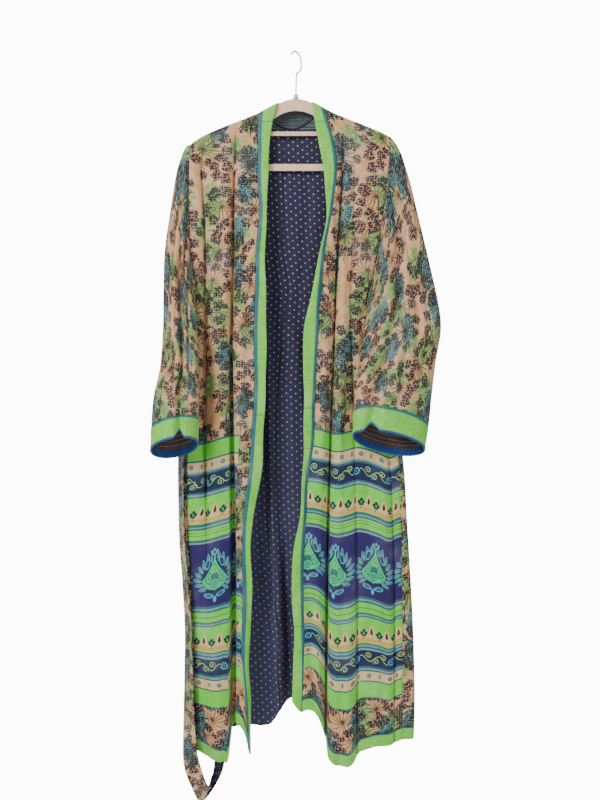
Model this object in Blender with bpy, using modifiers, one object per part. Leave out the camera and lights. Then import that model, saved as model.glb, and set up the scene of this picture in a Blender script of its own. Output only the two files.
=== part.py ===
# Kimono robe hanging on a flat clothes hanger, with its own belt
# Origin at the seat of the hook, X to the viewer's right, Y to the back, Z up
# Sizes and tables are in millimetres; a drop is measured down from the hook seat,
# a reach sideways from the middle. The wearer's right side lies at -X.

import math

import bmesh
import bpy
import numpy as np

MM = 0.001

CLOTH = 1.6
LINING = 1.2
SEAM = 0.8
LAYER = 1.9
HEM_HEIGHT = 25.0
HANGER_THICK = 3.6
HANGER_HALF = 197.0
HANGER_GAP = 2.0
WIRE = 1.7
HOOK_INNER = 20.0
HOOK_TURN = math.radians(60)
BELT_THICK = 1.5
BINDING_RADIUS = 2.0


def table(columns, *rows):
    return dict(zip(columns.split(), np.array(rows, float).T))


# Top line of the cloth over the hanger, from the middle outwards
SHOULDER = table(
    "reach drop",
    (0, 92.7), (20, 96), (35, 103), (50, 110.5), (70, 121.5), (100, 134.5), (145, 152), (190, 171.5),
    (225, 187),
)

# Half depth of the flattened body in the middle and at its sides, and how far it leans back
DEPTH = table(
    "drop middle edge lean",
    (90, 7.5, 6.5, 0), (160, 8.5, 6.5, 0), (240, 12, 6.5, 0), (350, 17, 6.5, 1), (500, 21, 5.5, 5),
    (650, 23, 8, 7), (860, 24, 9, 6), (1150, 24, 9.5, 5), (1460, 25, 10, 4),
)

# Edges of each half: front band, outer edge of the front (armhole, then side seam) and outermost side
EDGES = {
    "right": table(
        "drop inner outer seam side",
        (95, 35, 70, 213, 221), (140, 47, 77, 214, 222), (211, 55.5, 78, 218, 226), (258, 58, 79, 219, 227),
        (325, 59.5, 75, 219, 227), (406, 61.5, 81, 216, 224), (480, 61.5, 83, 206, 213),
        (560, 61.5, 86, 207, 217),
        (713, 61.5, 86, 219, 229), (775, 65.6, 90, 222, 232), (867, 72, 97, 223, 234),
        (959, 88, 108, 222, 234),
        (1123, 90.5, 108.7, 214, 228), (1230, 96, 110, 209, 223), (1324, 92, 102.5, 208, 222),
        (1445, 94, 97.5, 207, 222),
    ),
    "left": table(
        "drop inner outer seam side",
        (95, 33, 52, 197, 205), (131, 36.5, 62, 196, 204), (187, 47, 78, 194, 202),
        (246, 56.6, 84, 188, 196),
        (293, 60, 79, 182, 190), (328, 61.5, 74, 178, 186), (406, 50, 60, 168, 176),
        (467, 38, 53, 157, 165),
        (510, 30, 49, 146, 153), (570, 15, 46, 154, 164), (652, 14.4, 42, 178, 190),
        (713, 16.4, 39, 191, 203),
        (806, 16.4, 36, 206, 217), (867, 12.3, 26, 213, 223), (959, 6.2, 20.5, 216, 228),
        (1021, -4, 16.4, 217, 232),
        (1226, -5, 16.4, 218, 242), (1328, -8, 13, 218, 244), (1460, -9, 9, 216, 240),
    ),
}
# Rows of the fronts and the back, as shares of the way to the underarm (1) and to the hem's seam (2)
UPPER_ROWS = (0, 0.0015, 0.012, 0.05, 0.12, 0.22, 0.35, 0.5, 0.62, 0.75, 0.88, 0.97, 1)
LOWER_ROWS = (1.01, 1.07, 1.14, 1.21, 1.29, 1.38, 1.47, 1.56, 1.65, 1.74, 1.83, 1.92, 2)
UNDERARM = {"right": 488.0, "left": 515.0}

# Hem of each front by reach, and of the back by x
HEMS = {
    "right": table(
        "reach drop",
        (90, 1436), (97, 1432), (103, 1400), (113, 1380), (121, 1378), (130, 1400), (139, 1436),
        (165, 1452),
        (199, 1431), (207, 1428),
    ),
    "left": table(
        "reach drop",
        (-9, 1327), (9, 1349), (20, 1345), (50, 1372), (60, 1404), (70, 1442), (92, 1458), (114, 1457),
        (131, 1434), (152, 1424), (199, 1417), (216, 1408),
    ),
}
HEM_BACK = table(
    "x drop",
    (-212, 1428), (-150, 1396), (-92, 1382), (-70, 1386), (-45, 1376), (-28, 1342), (-10, 1330), (30, 1342),
    (90, 1374), (170, 1394), (231, 1408),
)

# Long folds pressed into each front: where they run, how wide and how deep
FOLD_COLUMNS = "drop reach width depth"
FOLDS = {
    "right": (
        table(
            FOLD_COLUMNS,
            (120, 118, 9, 0), (199, 125, 9, 4), (414, 127, 9, 7), (508, 133, 9, 8), (800, 133, 8, 10),
            (960, 131, 9, 11), (1123, 130, 9, 11), (1445, 130, 9, 10),
        ),
        table(
            FOLD_COLUMNS,
            (150, 194, 8, 0), (254, 194, 8, 5), (346, 187, 8, 7), (414, 182, 8, 8), (600, 180, 9, 9),
            (860, 182, 10, 6), (980, 182, 10, 2), (1445, 178, 10, 2),
        ),
    ),
    "left": (
        table(
            FOLD_COLUMNS,
            (150, 98, 8, 0), (244, 96, 7, 4), (390, 86, 8, 7), (500, 82, 8, 8), (650, 77, 9, 9),
            (814, 70, 9, 10),
            (1000, 64, 10, 10), (1250, 61, 9, 10), (1460, 60, 8, 11),
        ),
        table(
            FOLD_COLUMNS,
            (150, 122, 7, 0), (510, 108, 6, 0), (700, 118, 9, 2), (900, 122, 9, 3), (1100, 125, 9, 4),
            (1300, 125, 8, 6), (1460, 125, 8, 8),
        ),
        table(
            FOLD_COLUMNS,
            (150, 172, 7, 0), (426, 146, 6, 0), (515, 130, 5, 0), (600, 142, 5, 2), (700, 170, 8, 3),
            (860, 192, 8, 4), (1000, 199, 8, 6), (1200, 202, 8, 8), (1460, 201, 8, 7),
        ),
    ),
}

# The back's columns by their x at the shoulder, and the depth of the fold on each
BACK_COLUMNS = table(
    "x fold",
    (-213, 0), (-184, 3), (-151, -5), (-110, 5), (-88, -1), (-70, -3), (-66.5, -3), (-60, -2),
    (-50, 7), (-36, -3),
    (-20, -3), (-2, 3), (16, 3), (32, -3), (42, -2), (48.5, 2), (52, 2), (72, -1), (100, -5),
    (130, 5), (160, -2),
    (178, 0), (197, 0),
)
NECK = table(
    "left right drop depth",
    (-70, 52, 154, 20), (-35, 33, 104, 14),
)

# Rings of each sleeve from below the shoulder to the cuff edge: reach and drop of the outer and
# the inner edge, their y, half depth, how far the front is lifted, and where the long crease runs
SLEEVE_COLUMNS = "outer outer_drop inner inner_drop outer_y inner_y half tilt crease"
SLEEVES = {
    "right": table(
        SLEEVE_COLUMNS,
        (234, 211, 213, 491, 0, 0, 12, 0, 0.30), (246, 252, 214, 499, 0, -7, 15, 0, 0.34),
        (257, 324, 213, 512, -3, -16, 18, 1, 0.40), (268, 406, 205, 543, -8, -28, 21, 2, 0.46),
        (270, 488, 199, 590, -16, -38, 24, 4, 0.52), (270, 570, 196, 636, -26, -45, 27, 6, 0.56),
        (275, 648, 195, 681, -35, -50, 29, 9, 0.60), (287, 709, 195, 715, -43, -53, 31, 11, 0.62),
        (291, 768, 195, 751, -49, -56, 32, 14, 0.63), (292, 815, 197, 798, -52, -57, 33, 20, 0.63),
    ),
    "left": table(
        SLEEVE_COLUMNS,
        (217, 211, 150, 518, 0, 0, 12, 0, 0.22), (234, 266, 151, 526, 0, -7, 15, 0, 0.30),
        (250, 334, 149, 538, -3, -16, 18, 1, 0.40), (271, 426, 141, 568, -9, -28, 21, 2, 0.50),
        (290, 516, 133, 612, -18, -38, 24, 5, 0.58), (294, 572, 127, 652, -28, -45, 27, 8, 0.63),
        (283, 635, 122, 689, -36, -50, 29, 12, 0.67), (274, 703, 118, 712, -44, -54, 31, 17, 0.70),
        (267, 765, 115, 736, -50, -57, 32, 22, 0.72), (259, 812, 115, 783, -53, -58, 33, 22, 0.75),
    ),
}
CUFF_RING = 8
CREASE_WIDTH = 0.13
CREASE_DEPTH = 9.0
APEX = 14.0

# Belt: its two edges, down the side, round the bight and up behind the back
BELT = table(
    "front_x front_y front_drop back_x back_y back_drop",
    (-230, -11, 680, -243, 24, 680), (-232, -11, 730, -245, 24, 730), (-235, -11, 780, -248, 24, 780),
    (-236, -12, 870, -250, 23, 870), (-233, -14, 1000, -247, 20, 1000), (-224, -17, 1100, -239, 17, 1100),
    (-214, -20, 1200, -231, 13, 1200), (-210, -23, 1290, -230, 9, 1290), (-206, -27, 1370, -231, 1, 1370),
    (-200, -31, 1430, -231, -9, 1440), (-190, -33, 1466, -226, -17, 1469),
    (-182, -28, 1490, -213, -15, 1504),
    (-175, -12, 1506, -198, -8, 1535), (-176, 14, 1497, -184, 2, 1531), (-172, 31, 1485, -164, 10, 1503),
    (-170, 42, 1466, -152, 14, 1478), (-174, 46, 1440, -146, 28, 1446), (-184, 43, 1390, -146, 43, 1400),
    (-192, 40, 1300, -154, 44, 1300), (-202, 37, 1150, -164, 43, 1150), (-208, 35, 1000, -171, 41, 1000),
    (-213, 34, 860, -176, 41, 860), (-211, 34, 760, -174, 41, 760), (-209, 33, 680, -172, 40, 680),
)

# Hanger: its outline from the middle to the right end, and the right halves of its two openings
HANGER_REACH = np.array((0, 12, 24, 35, 50, 60, 72, 88, 105, 140, 165, 183))
HANGER_END = [(191, 177), (196, 184), (HANGER_HALF, 193), (194, 209), (186, 226), (176, 238), (162, 243.5)]
HANGER_UPPER = [(0, 120), (16, 122), (30, 127), (45, 136), (103, 162.5)]
HANGER_LOWER = [(128, 171.5), (160, 185), (177, 194), (181, 203), (176, 217), (164, 229)]
NECK_POINT = 62.0
NECK_POINT_HALF = 15.0
NECK_POINT_GAP = 1.2
COLLAR = {"foot": 6.0, "top": 4.0, "height": 8.0, "sides": 20, "gap": 0.3}
# Hook: straight stem, bend, and an arc from and to these angles with this many points
HOOK_STEM = 12.0
HOOK_BEND = [(1.2, 58), (0.8, 50)]
HOOK_ARC = (-78, 150, 20)
# Belt carrier: its line round the side seam, seen from above
LOOP = {
    "drop": 720.0,
    "half": 6.0,
    "thick": 1.2,
    "path": [
        (-205, -13), (-224, -14.5), (-235, -13), (-243, 0), (-249, 24),
        (-240, 31), (-215, 37), (-188, 42), (-165, 42), (-160, 36),
    ],
}

COLOURS = {
    "floral": (0.68, 0.42, 0.25),
    "green": (0.24, 0.60, 0.16),
    "dotted": (0.025, 0.03, 0.085),
    "brocade": (0.06, 0.16, 0.20),
    "blue": (0.015, 0.08, 0.22),
    "beige": (0.72, 0.58, 0.44),
    "chrome": (0.62, 0.62, 0.64),
}


def smooth(value, knots, numbers):
    # Cubic through the table's rows, each with the slope of its neighbours
    slopes = np.gradient(numbers, knots)
    value = np.asarray(value, float)
    row = np.clip(np.searchsorted(knots, value, side="right") - 1, 0, len(knots) - 2)
    span = knots[row + 1] - knots[row]
    t = np.clip((value - knots[row]) / span, 0, 1)
    rise = numbers[row + 1] - numbers[row]
    start = slopes[row] * span
    end = slopes[row + 1] * span
    return numbers[row] + t * t * (3 - 2 * t) * rise + t * (1 - t) ** 2 * start - t * t * (1 - t) * end


def read(data, column, value, key="drop"):
    return smooth(value, data[key], data[column])


def ridge(x):
    return read(SHOULDER, "drop", np.abs(x), "reach")


def half_depth(x, drop):
    # Lens-shaped section: full in the middle, thin at the side bend
    edge = read(DEPTH, "edge", drop)
    middle = read(DEPTH, "middle", drop)
    side = np.where(x < 0, read(EDGES["right"], "side", drop), read(EDGES["left"], "side", drop))
    share = np.clip(np.abs(x) / (side - edge), 0, 1)
    return edge + (middle - edge) * (1 - share ** 2.4)


def shoulder_round(below):
    # Share of the depth reached this far below the top line: flat over the hanger, then down
    return np.interp(below, (0, 0.5, 4, 15), (0.02, 0.55, 0.85, 1))


def front_point(half, reach, drop, below):
    # Front wall: lens depth, rounded shoulder and long folds
    sign = -1 if half == "right" else 1
    fold = np.zeros_like(reach)
    for line in FOLDS[half]:
        distance = np.abs(reach - read(line, "reach", drop))
        fold += read(line, "depth", drop) * np.maximum(0, 1 - distance / read(line, "width", drop))
    depth = half_depth(sign * reach, drop) * shoulder_round(below)
    y = read(DEPTH, "lean", drop) - depth + fold * np.clip(below / 60, 0, 1)
    return np.stack([sign * reach, y, -drop], axis=-1)


def panel_reaches(half, drop):
    # Columns of a front panel: one on each fold, on its lips and halfway between folds
    edges = EDGES[half]
    start = read(edges, "outer", drop) + SEAM
    reaches = [start]
    for line in FOLDS[half]:
        centre = read(line, "reach", drop)
        width = read(line, "width", drop)
        reaches += [(reaches[-1] + centre - width) / 2, centre - width, centre, centre + width]
    end = read(edges, "seam", drop)
    reaches += [(reaches[-1] + end) / 2, end]
    return reaches


def band_reaches(half, drop):
    inner = read(EDGES[half], "inner", drop)
    outer = read(EDGES[half], "outer", drop)
    return [inner, (inner + outer) / 2, outer]


def column_drops(top, under, hem, gap, rows):
    # Drops of a column's rows: to the underarm, to the hem's seam and to the hem
    return np.interp(rows, (0, 1, 2, 3), (top, under, hem - HEM_HEIGHT + gap, hem))


def seam_gaps(reach, hems):
    # Half the seam's gap down each column, wider where the hem runs steeply
    slope = np.abs(np.diff(hems) / np.diff(reach))
    steep = np.maximum(np.append(slope, 0), np.insert(slope, 0, 0))
    return SEAM / 2 * np.sqrt(1 + 1.5 * steep ** 2)


def front_grid(half, reaches, rows, side):
    # side is -1 above the hem's seam, 1 below it and 0 where nothing is cut there
    count = len(reaches(half, np.array(500.0)))
    feet = np.array([float(reaches(half, np.array(1400.0))[column]) for column in range(count)])
    hems = np.interp(feet, HEMS[half]["reach"], HEMS[half]["drop"])
    gaps = side * seam_gaps(feet, hems)
    grid = []
    for column in range(count):
        top = 130.0
        for _ in range(6):
            top = float(ridge(reaches(half, np.array(top))[column]))
        drop = column_drops(top, UNDERARM[half], hems[column], gaps[column], rows)
        grid.append(front_point(half, reaches(half, drop)[column], drop, drop - top))
    return np.stack(grid, axis=1)


def neck_arc(row, x):
    # How far round the neck's half circle a point lies: 0 at its ends, 1 in the middle of the back
    middle = (NECK["left"][row] + NECK["right"][row]) / 2
    radius = (NECK["right"][row] - NECK["left"][row]) / 2
    return np.sqrt(np.clip(1 - ((x - middle) / radius) ** 2, 0, 1))


def neck_line(row, x):
    # Drop and y of the neck seam (row 0) or of the neck band's top edge (row 1)
    arc = neck_arc(row, x)
    drop = ridge(x) + (NECK["drop"][row] - ridge(x)) * arc ** 1.5
    return drop, 0.6 + NECK["depth"][row] * np.sqrt(arc)


def back_grid(rows, side):
    # The back between its armholes or side bends
    shares = (BACK_COLUMNS["x"] - BACK_COLUMNS["x"][0]) / np.ptp(BACK_COLUMNS["x"])
    feet = np.array([float(back_across(share, np.array(1400.0))) for share in shares])
    hems = np.interp(feet, HEM_BACK["x"], HEM_BACK["drop"])
    gaps = side * seam_gaps(feet, hems)
    grid = []
    for column, share in enumerate(shares):
        under = UNDERARM["right"] + share * (UNDERARM["left"] - UNDERARM["right"])
        top = 130.0
        for _ in range(6):
            top_x = float(back_across(share, np.array(top)))
            top = float(neck_line(0, top_x)[0])
        arc = float(neck_arc(0, top_x))
        in_neck = min(1.0, 3 * arc)
        drop = column_drops(top + SEAM * in_neck, under, hems[column], gaps[column], rows)
        x = back_across(share, drop)
        below = drop - top
        neck_y = neck_line(0, top_x)[1] * np.exp(-below / 50) * in_neck
        depth = np.maximum(half_depth(x, drop) * shoulder_round(below), neck_y)
        fold = BACK_COLUMNS["fold"][column] * np.clip((drop - 200) / 900, 0, 1)
        y = read(DEPTH, "lean", drop) + depth - fold
        grid.append(np.stack([x, y, -drop], axis=-1))
    return np.stack(grid, axis=1)


def back_across(share, drop):
    right = np.where(
        drop < UNDERARM["right"],
        read(EDGES["right"], "seam", drop),
        read(EDGES["right"], "side", drop) - read(DEPTH, "edge", drop),
    )
    left = np.where(
        drop < UNDERARM["left"],
        read(EDGES["left"], "seam", drop),
        read(EDGES["left"], "side", drop) - read(DEPTH, "edge", drop),
    )
    return -right + share * (left + right)


def side_wrap(half, drop):
    # Round the side bend and forward to the side seam, from the back outwards
    sign = -1 if half == "right" else 1
    radius = read(DEPTH, "edge", drop)
    lean = read(DEPTH, "lean", drop)
    side = read(EDGES[half], "side", drop)
    columns = []
    for turn in (55, 0, -55, -90):
        angle = math.radians(turn)
        x = side - radius * (1 - math.cos(angle))
        columns.append(np.stack([sign * x, lean + radius * math.sin(angle), -drop], axis=-1))
    seam = np.minimum(read(EDGES[half], "seam", drop) + SEAM, side - radius - 1)
    columns.append(np.stack([sign * seam, lean - half_depth(sign * seam, drop), -drop], axis=-1))
    return columns


def back_sheet(rows, side):
    # The back with its wraps; above the underarm the wraps are left out
    middle = back_grid(rows, side)
    right = side_wrap("right", -middle[:, 0, 2])[::-1]
    left = side_wrap("left", -middle[:, -1, 2])
    grid = np.concatenate([np.stack(right, axis=1), middle, np.stack(left, axis=1)], axis=1)
    keep = np.ones((grid.shape[0] - 1, grid.shape[1] - 1), bool)
    above = np.array(rows)[:-1] <= 1
    keep[above, :len(right)] = False
    keep[above, -len(left):] = False
    return grid, keep


def sleeve_rings(half, sides):
    # sides gives each point of a ring as a share across (outer 0, inner 1) and front -1 or back +1
    sign = -1 if half == "right" else 1
    data = SLEEVES[half]
    top = 150.0
    for _ in range(5):
        top = float(ridge(read(EDGES[half], "seam", top)))
    rings = []
    for step in (SEAM, 2.2):
        points = []
        for share, side in sides:
            drop = top + share * (UNDERARM[half] - top) - 1.5 * (share == 1)
            reach = read(EDGES[half], "seam", drop)
            depth = half_depth(sign * reach, drop) * shoulder_round(drop - top) * (0 < share < 1)
            y = float(read(DEPTH, "lean", drop)) + side * float(depth)
            points.append((sign * (float(reach) + step), y, -drop))
        rings.append(points)
    for ring in range(len(data["outer"])):
        row = {name: values[ring] for name, values in data.items()}
        points = []
        for share, side in sides:
            width = 2 * math.sqrt(share * (1 - share))
            x = row["outer"] + share * (row["inner"] - row["outer"])
            drop = row["outer_drop"] + share * (row["inner_drop"] - row["outer_drop"])
            y = row["outer_y"] + share * (row["inner_y"] - row["outer_y"]) + side * row["half"] * width ** 0.9
            crease = max(0, 1 - abs(share - row["crease"]) / CREASE_WIDTH) if side < 0 else 0
            y += CREASE_DEPTH * crease * min(1, ring / 3)
            drop += side * row["tilt"] * width
            points.append((sign * x, y, -drop))
        rings.append(points)
    return np.array(rings)


def ring_sides():
    # Points round a ring: the same shares as the rows of the armhole
    shares = UPPER_ROWS[2:-1]
    return [(0, -1)] + [(share, -1) for share in shares] + [(1, -1)] + [(share, 1) for share in shares[::-1]]


def normals(grid, closed):
    # Unit normals of a grid of points, from its two directions
    across = np.roll(grid, -1, axis=1) - np.roll(grid, 1, axis=1) if closed else np.gradient(grid, axis=1)
    cross = np.cross(np.gradient(grid, axis=0), across)
    return cross / np.linalg.norm(cross, axis=2, keepdims=True)


def material(name, kind, metallic=0.0, roughness=0.8):
    surface = bpy.data.materials.new(name)
    surface.use_nodes = True
    shader = surface.node_tree.nodes["Principled BSDF"]
    shader.inputs["Base Color"].default_value = (*COLOURS[kind], 1)
    shader.inputs["Roughness"].default_value = roughness
    shader.inputs["Metallic"].default_value = metallic
    return surface


def add(name, data, kind, metallic=0.0, roughness=0.8):
    piece = bpy.data.objects.new(name, data)
    data.materials.append(material(name, kind, metallic, roughness))
    robe.objects.link(piece)
    return piece


def sheet(name, grid, kind, thickness=CLOTH, closed=False, keep=None):
    # A grid of points as an open surface, thickened to the cloth's thickness on both sides
    rows, columns = grid.shape[:2]
    number = np.arange(rows * columns).reshape(rows, columns)
    if closed:
        number = np.hstack([number, number[:, :1]])
    faces = np.stack([number[:-1, :-1], number[:-1, 1:], number[1:, 1:], number[1:, :-1]], axis=-1)
    if keep is not None:
        faces = faces[keep]
    data = bpy.data.meshes.new(name)
    data.from_pydata((grid.reshape(-1, 3) * MM).tolist(), [], faces.reshape(-1, 4).tolist())
    shape = bmesh.new()
    shape.from_mesh(data)
    bmesh.ops.delete(shape, geom=[point for point in shape.verts if not point.link_faces], context="VERTS")
    shape.to_mesh(data)
    shape.free()
    data.shade_smooth()
    piece = add(name, data, kind)
    solidify = piece.modifiers.new("Cloth", "SOLIDIFY")
    solidify.thickness = thickness * MM
    solidify.offset = 0
    return piece


def build_front(half):
    rows = UPPER_ROWS + LOWER_ROWS
    sheet("front_" + half, front_grid(half, panel_reaches, rows, -1), "floral")
    sheet("hem_front_" + half, front_grid(half, panel_reaches, (2, 3), 1), "green")
    sheet("front_band_" + half, front_grid(half, band_reaches, (*rows, 3), 0), "green")


def build_back():
    rows = UPPER_ROWS + LOWER_ROWS
    grid, keep = back_sheet(rows, -1)
    sheet("back", grid, "floral", keep=keep)
    sheet("hem_back", back_sheet((2, 3), 1)[0], "green")
    # The lining is the back's own points moved inwards, from below the shoulder to just above the hem
    outer = back_grid((*rows, 2.8), 0)
    inward = normals(outer, False)
    inward *= -np.sign(inward[10, 10, 1])
    lining = outer + LAYER * inward
    lining[:2] = lining[1:3] + (lining[:2] - lining[1:3]) * 0.5
    sheet("back_lining", lining[2:, 1:-1], "dotted", LINING)


def build_neck():
    # The band stands round the back of the neck, with the woven facing on its inside
    columns = BACK_COLUMNS["x"]
    seam_x = columns[(columns >= NECK["left"][0]) & (columns <= NECK["right"][0])]
    middle = (NECK["left"] + NECK["right"]) / 2
    radius = (NECK["right"] - NECK["left"]) / 2
    lines = []
    for row in (0, 1):
        x = middle[row] + radius[row] * (seam_x - middle[0]) / radius[0]
        drop, y = neck_line(row, x)
        lines.append(np.stack([x, y, -drop], axis=-1))
    seam, free = lines
    seam = seam + (0, 0, 0.75 * SEAM)
    grid = np.stack([free, (seam + free) / 2, seam])
    sheet("neck_band", grid, "green")
    inward = normals(grid, False)
    inward *= -np.sign(inward[1, 6, 1])
    facing = grid + LAYER * inward
    facing[0] += 0.05 * (facing[1] - facing[0])
    facing[2] += 0.1 * (facing[1] - facing[2])
    sheet("neck_facing", facing[:, 2:-2], "brocade", LINING)


def build_sleeve(half):
    rings = sleeve_rings(half, ring_sides())
    seam_ring = rings[CUFF_RING + 2]
    above = rings[CUFF_RING + 1]
    step = (seam_ring - above) / np.linalg.norm(seam_ring - above, axis=1, keepdims=True)
    sleeve = np.concatenate([rings[:CUFF_RING + 2], (seam_ring - SEAM / 2 * step)[None]])
    sheet("sleeve_" + half, sleeve, "floral", closed=True)
    crease = SLEEVES[half]["crease"][-1]
    lift = np.array([max(0, 1 - abs(share - crease) / CREASE_WIDTH) * (side < 0) for share, side in ring_sides()])
    edge = rings[-1] + APEX * lift[:, None] * (0, 0, 1)
    start = seam_ring + SEAM / 2 * step
    cuff = np.stack([start, (start + edge) / 2, edge])
    sheet("cuff_" + half, cuff, "green", closed=True)
    # The lining follows the cuff and the end of the sleeve, moved inwards
    inside = np.concatenate([rings[CUFF_RING:CUFF_RING + 3], ((seam_ring + edge) / 2)[None], edge[None]])
    outward = normals(inside, True)
    outward *= np.sign((outward * (inside - inside.mean(axis=1, keepdims=True))).sum())
    inside = inside - LAYER * outward
    inside[-1] = inside[-1] + 0.06 * (inside[-2] - inside[-1])
    sheet("cuff_lining_" + half, inside, "dotted", LINING, closed=True)
    down = edge - (start + edge) / 2
    down /= np.linalg.norm(down, axis=1, keepdims=True)
    build_binding(half, edge + (BINDING_RADIUS + SEAM / 2) * (1.3 + 0.8 * np.sqrt(lift[:, None])) * down)


def build_binding(half, points):
    data = bpy.data.curves.new("cuff_binding_" + half, "CURVE")
    data.dimensions = "3D"
    spline = data.splines.new("POLY")
    spline.points.add(len(points) - 1)
    for point, place in zip(spline.points, points):
        point.co = (*(place * MM), 1)
    spline.use_cyclic_u = True
    data.bevel_depth = BINDING_RADIUS * MM
    data.bevel_resolution = 1
    add("cuff_binding_" + half, data, "blue")


def build_belt():
    front = np.stack([BELT["front_x"], BELT["front_y"], -BELT["front_drop"]], axis=-1)
    back = np.stack([BELT["back_x"], BELT["back_y"], -BELT["back_drop"]], axis=-1)
    sheet("belt", np.stack([front, (front + back) / 2, back], axis=1), "floral", BELT_THICK)


def outline(spline_points, data):
    spline = data.splines.new("POLY")
    spline.points.add(len(spline_points) - 1)
    for point, (x, drop) in zip(spline.points, spline_points):
        point.co = (x * MM, -drop * MM, 0, 1)
    spline.use_cyclic_u = True


def build_hanger():
    top = ridge(HANGER_REACH) + HANGER_GAP
    top = top + np.where(abs(HANGER_REACH - NECK_POINT) < NECK_POINT_HALF, NECK_POINT_GAP, 0)
    right_side = [*zip(HANGER_REACH, top), *HANGER_END]
    # The first point of the right side lies on the middle line, so the mirrored side leaves it out
    outer = right_side + [(-x, drop) for x, drop in right_side[:0:-1]]
    upper = HANGER_UPPER + [(-x, drop) for x, drop in HANGER_UPPER[:0:-1]]
    lower = HANGER_LOWER + [(-x, drop) for x, drop in HANGER_LOWER[::-1]]
    data = bpy.data.curves.new("hanger_frame", "CURVE")
    data.dimensions = "2D"
    data.fill_mode = "BOTH"
    data.extrude = HANGER_THICK / 2 * MM
    for line in (outer, upper, lower):
        outline(line, data)
    frame = add("hanger_frame", data, "beige", roughness=0.9)
    frame.rotation_euler.x = math.pi / 2
    collar_foot = ridge(0.0) + HANGER_GAP - COLLAR["gap"]
    bpy.ops.mesh.primitive_cone_add(
        vertices=COLLAR["sides"],
        radius1=COLLAR["foot"] * MM,
        radius2=COLLAR["top"] * MM,
        depth=COLLAR["height"] * MM,
    )
    collar = bpy.context.object
    collar.name = "hanger_collar"
    collar.location.z = (COLLAR["height"] / 2 - collar_foot) * MM
    collar.data.materials.append(material("hanger_collar", "beige", roughness=0.9))
    collar.users_collection[0].objects.unlink(collar)
    robe.objects.link(collar)
    build_hook(collar_foot - COLLAR["height"] - COLLAR["gap"])


def build_hook(foot):
    # Stem, bend and a round hook, in a plane turned away from the robe's
    radius = HOOK_INNER + WIRE
    stem = [(0, foot), (0, foot - HOOK_STEM)]
    angles = np.radians(np.linspace(*HOOK_ARC))
    arc = [(radius * math.cos(a), HOOK_INNER - radius * math.sin(a)) for a in angles]
    data = bpy.data.curves.new("hanger_hook", "CURVE")
    data.dimensions = "3D"
    spline = data.splines.new("POLY")
    route = stem + HOOK_BEND + arc
    spline.points.add(len(route) - 1)
    for point, (across, drop) in zip(spline.points, route):
        point.co = (across * math.cos(HOOK_TURN) * MM, across * math.sin(HOOK_TURN) * MM, -drop * MM, 1)
    data.bevel_depth = WIRE * MM
    data.bevel_resolution = 2
    data.use_fill_caps = True
    add("hanger_hook", data, "chrome", metallic=1.0, roughness=0.2)


def build_loop():
    # A short carrier round the side seam, over the belt
    lines = (LOOP["drop"] - LOOP["half"], LOOP["drop"] + LOOP["half"])
    points = np.array([[(x, y, -line) for x, y in LOOP["path"]] for line in lines])
    sheet("belt_loop", points, "floral", LOOP["thick"])


for thing in list(bpy.data.objects):
    bpy.data.objects.remove(thing)
robe = bpy.data.collections.new("Kimono robe on a hanger")
bpy.context.scene.collection.children.link(robe)

for part_side in ("right", "left"):
    build_front(part_side)
    build_sleeve(part_side)
build_back()
build_neck()
build_belt()
build_loop()
build_hanger()
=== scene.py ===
import math
import bpy
import numpy as np
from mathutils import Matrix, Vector


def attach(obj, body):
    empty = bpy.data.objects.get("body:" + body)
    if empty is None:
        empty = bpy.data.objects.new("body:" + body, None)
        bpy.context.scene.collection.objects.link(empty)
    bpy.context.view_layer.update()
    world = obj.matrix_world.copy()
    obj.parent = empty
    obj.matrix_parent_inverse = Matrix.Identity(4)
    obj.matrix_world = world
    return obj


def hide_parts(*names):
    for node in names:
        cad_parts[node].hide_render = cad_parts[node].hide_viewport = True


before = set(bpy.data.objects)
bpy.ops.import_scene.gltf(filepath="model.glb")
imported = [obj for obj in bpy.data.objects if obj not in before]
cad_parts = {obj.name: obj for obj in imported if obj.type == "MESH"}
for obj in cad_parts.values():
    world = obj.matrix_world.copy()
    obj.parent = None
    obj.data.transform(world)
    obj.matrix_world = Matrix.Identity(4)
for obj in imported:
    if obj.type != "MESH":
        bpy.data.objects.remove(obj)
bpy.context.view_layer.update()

# Kimono robe on a flat clothes hanger. Tables are in millimetres: a drop is measured down from the
# hook seat, a reach sideways from the middle. The wearer's right side lies at -X.
mm = 0.001


def table(columns, *rows):
    # Rows of numbers under named columns
    return dict(zip(columns.split(), np.array(rows, float).T))


# Top line of the cloth over the hanger, from the middle outwards
shoulder = table(
    "reach drop",
    (0, 92.7), (20, 96), (35, 103), (50, 110.5), (70, 121.5), (100, 134.5), (145, 152), (184, 169), (198, 176.5),
    (212, 186), (225, 198),
)

# Half depth of the hanging body in the middle and at its sides, and how far it leans back
depth = table(
    "drop middle edge lean",
    (90, 7.5, 6.5, 0), (160, 8.5, 6.5, 0), (240, 12, 6.5, 0), (350, 17, 6.5, 1), (500, 21, 5.5, 5),
    (650, 23, 8, 7), (860, 24, 9, 6), (1150, 24, 9.5, 5), (1460, 25, 10, 4),
)

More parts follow.
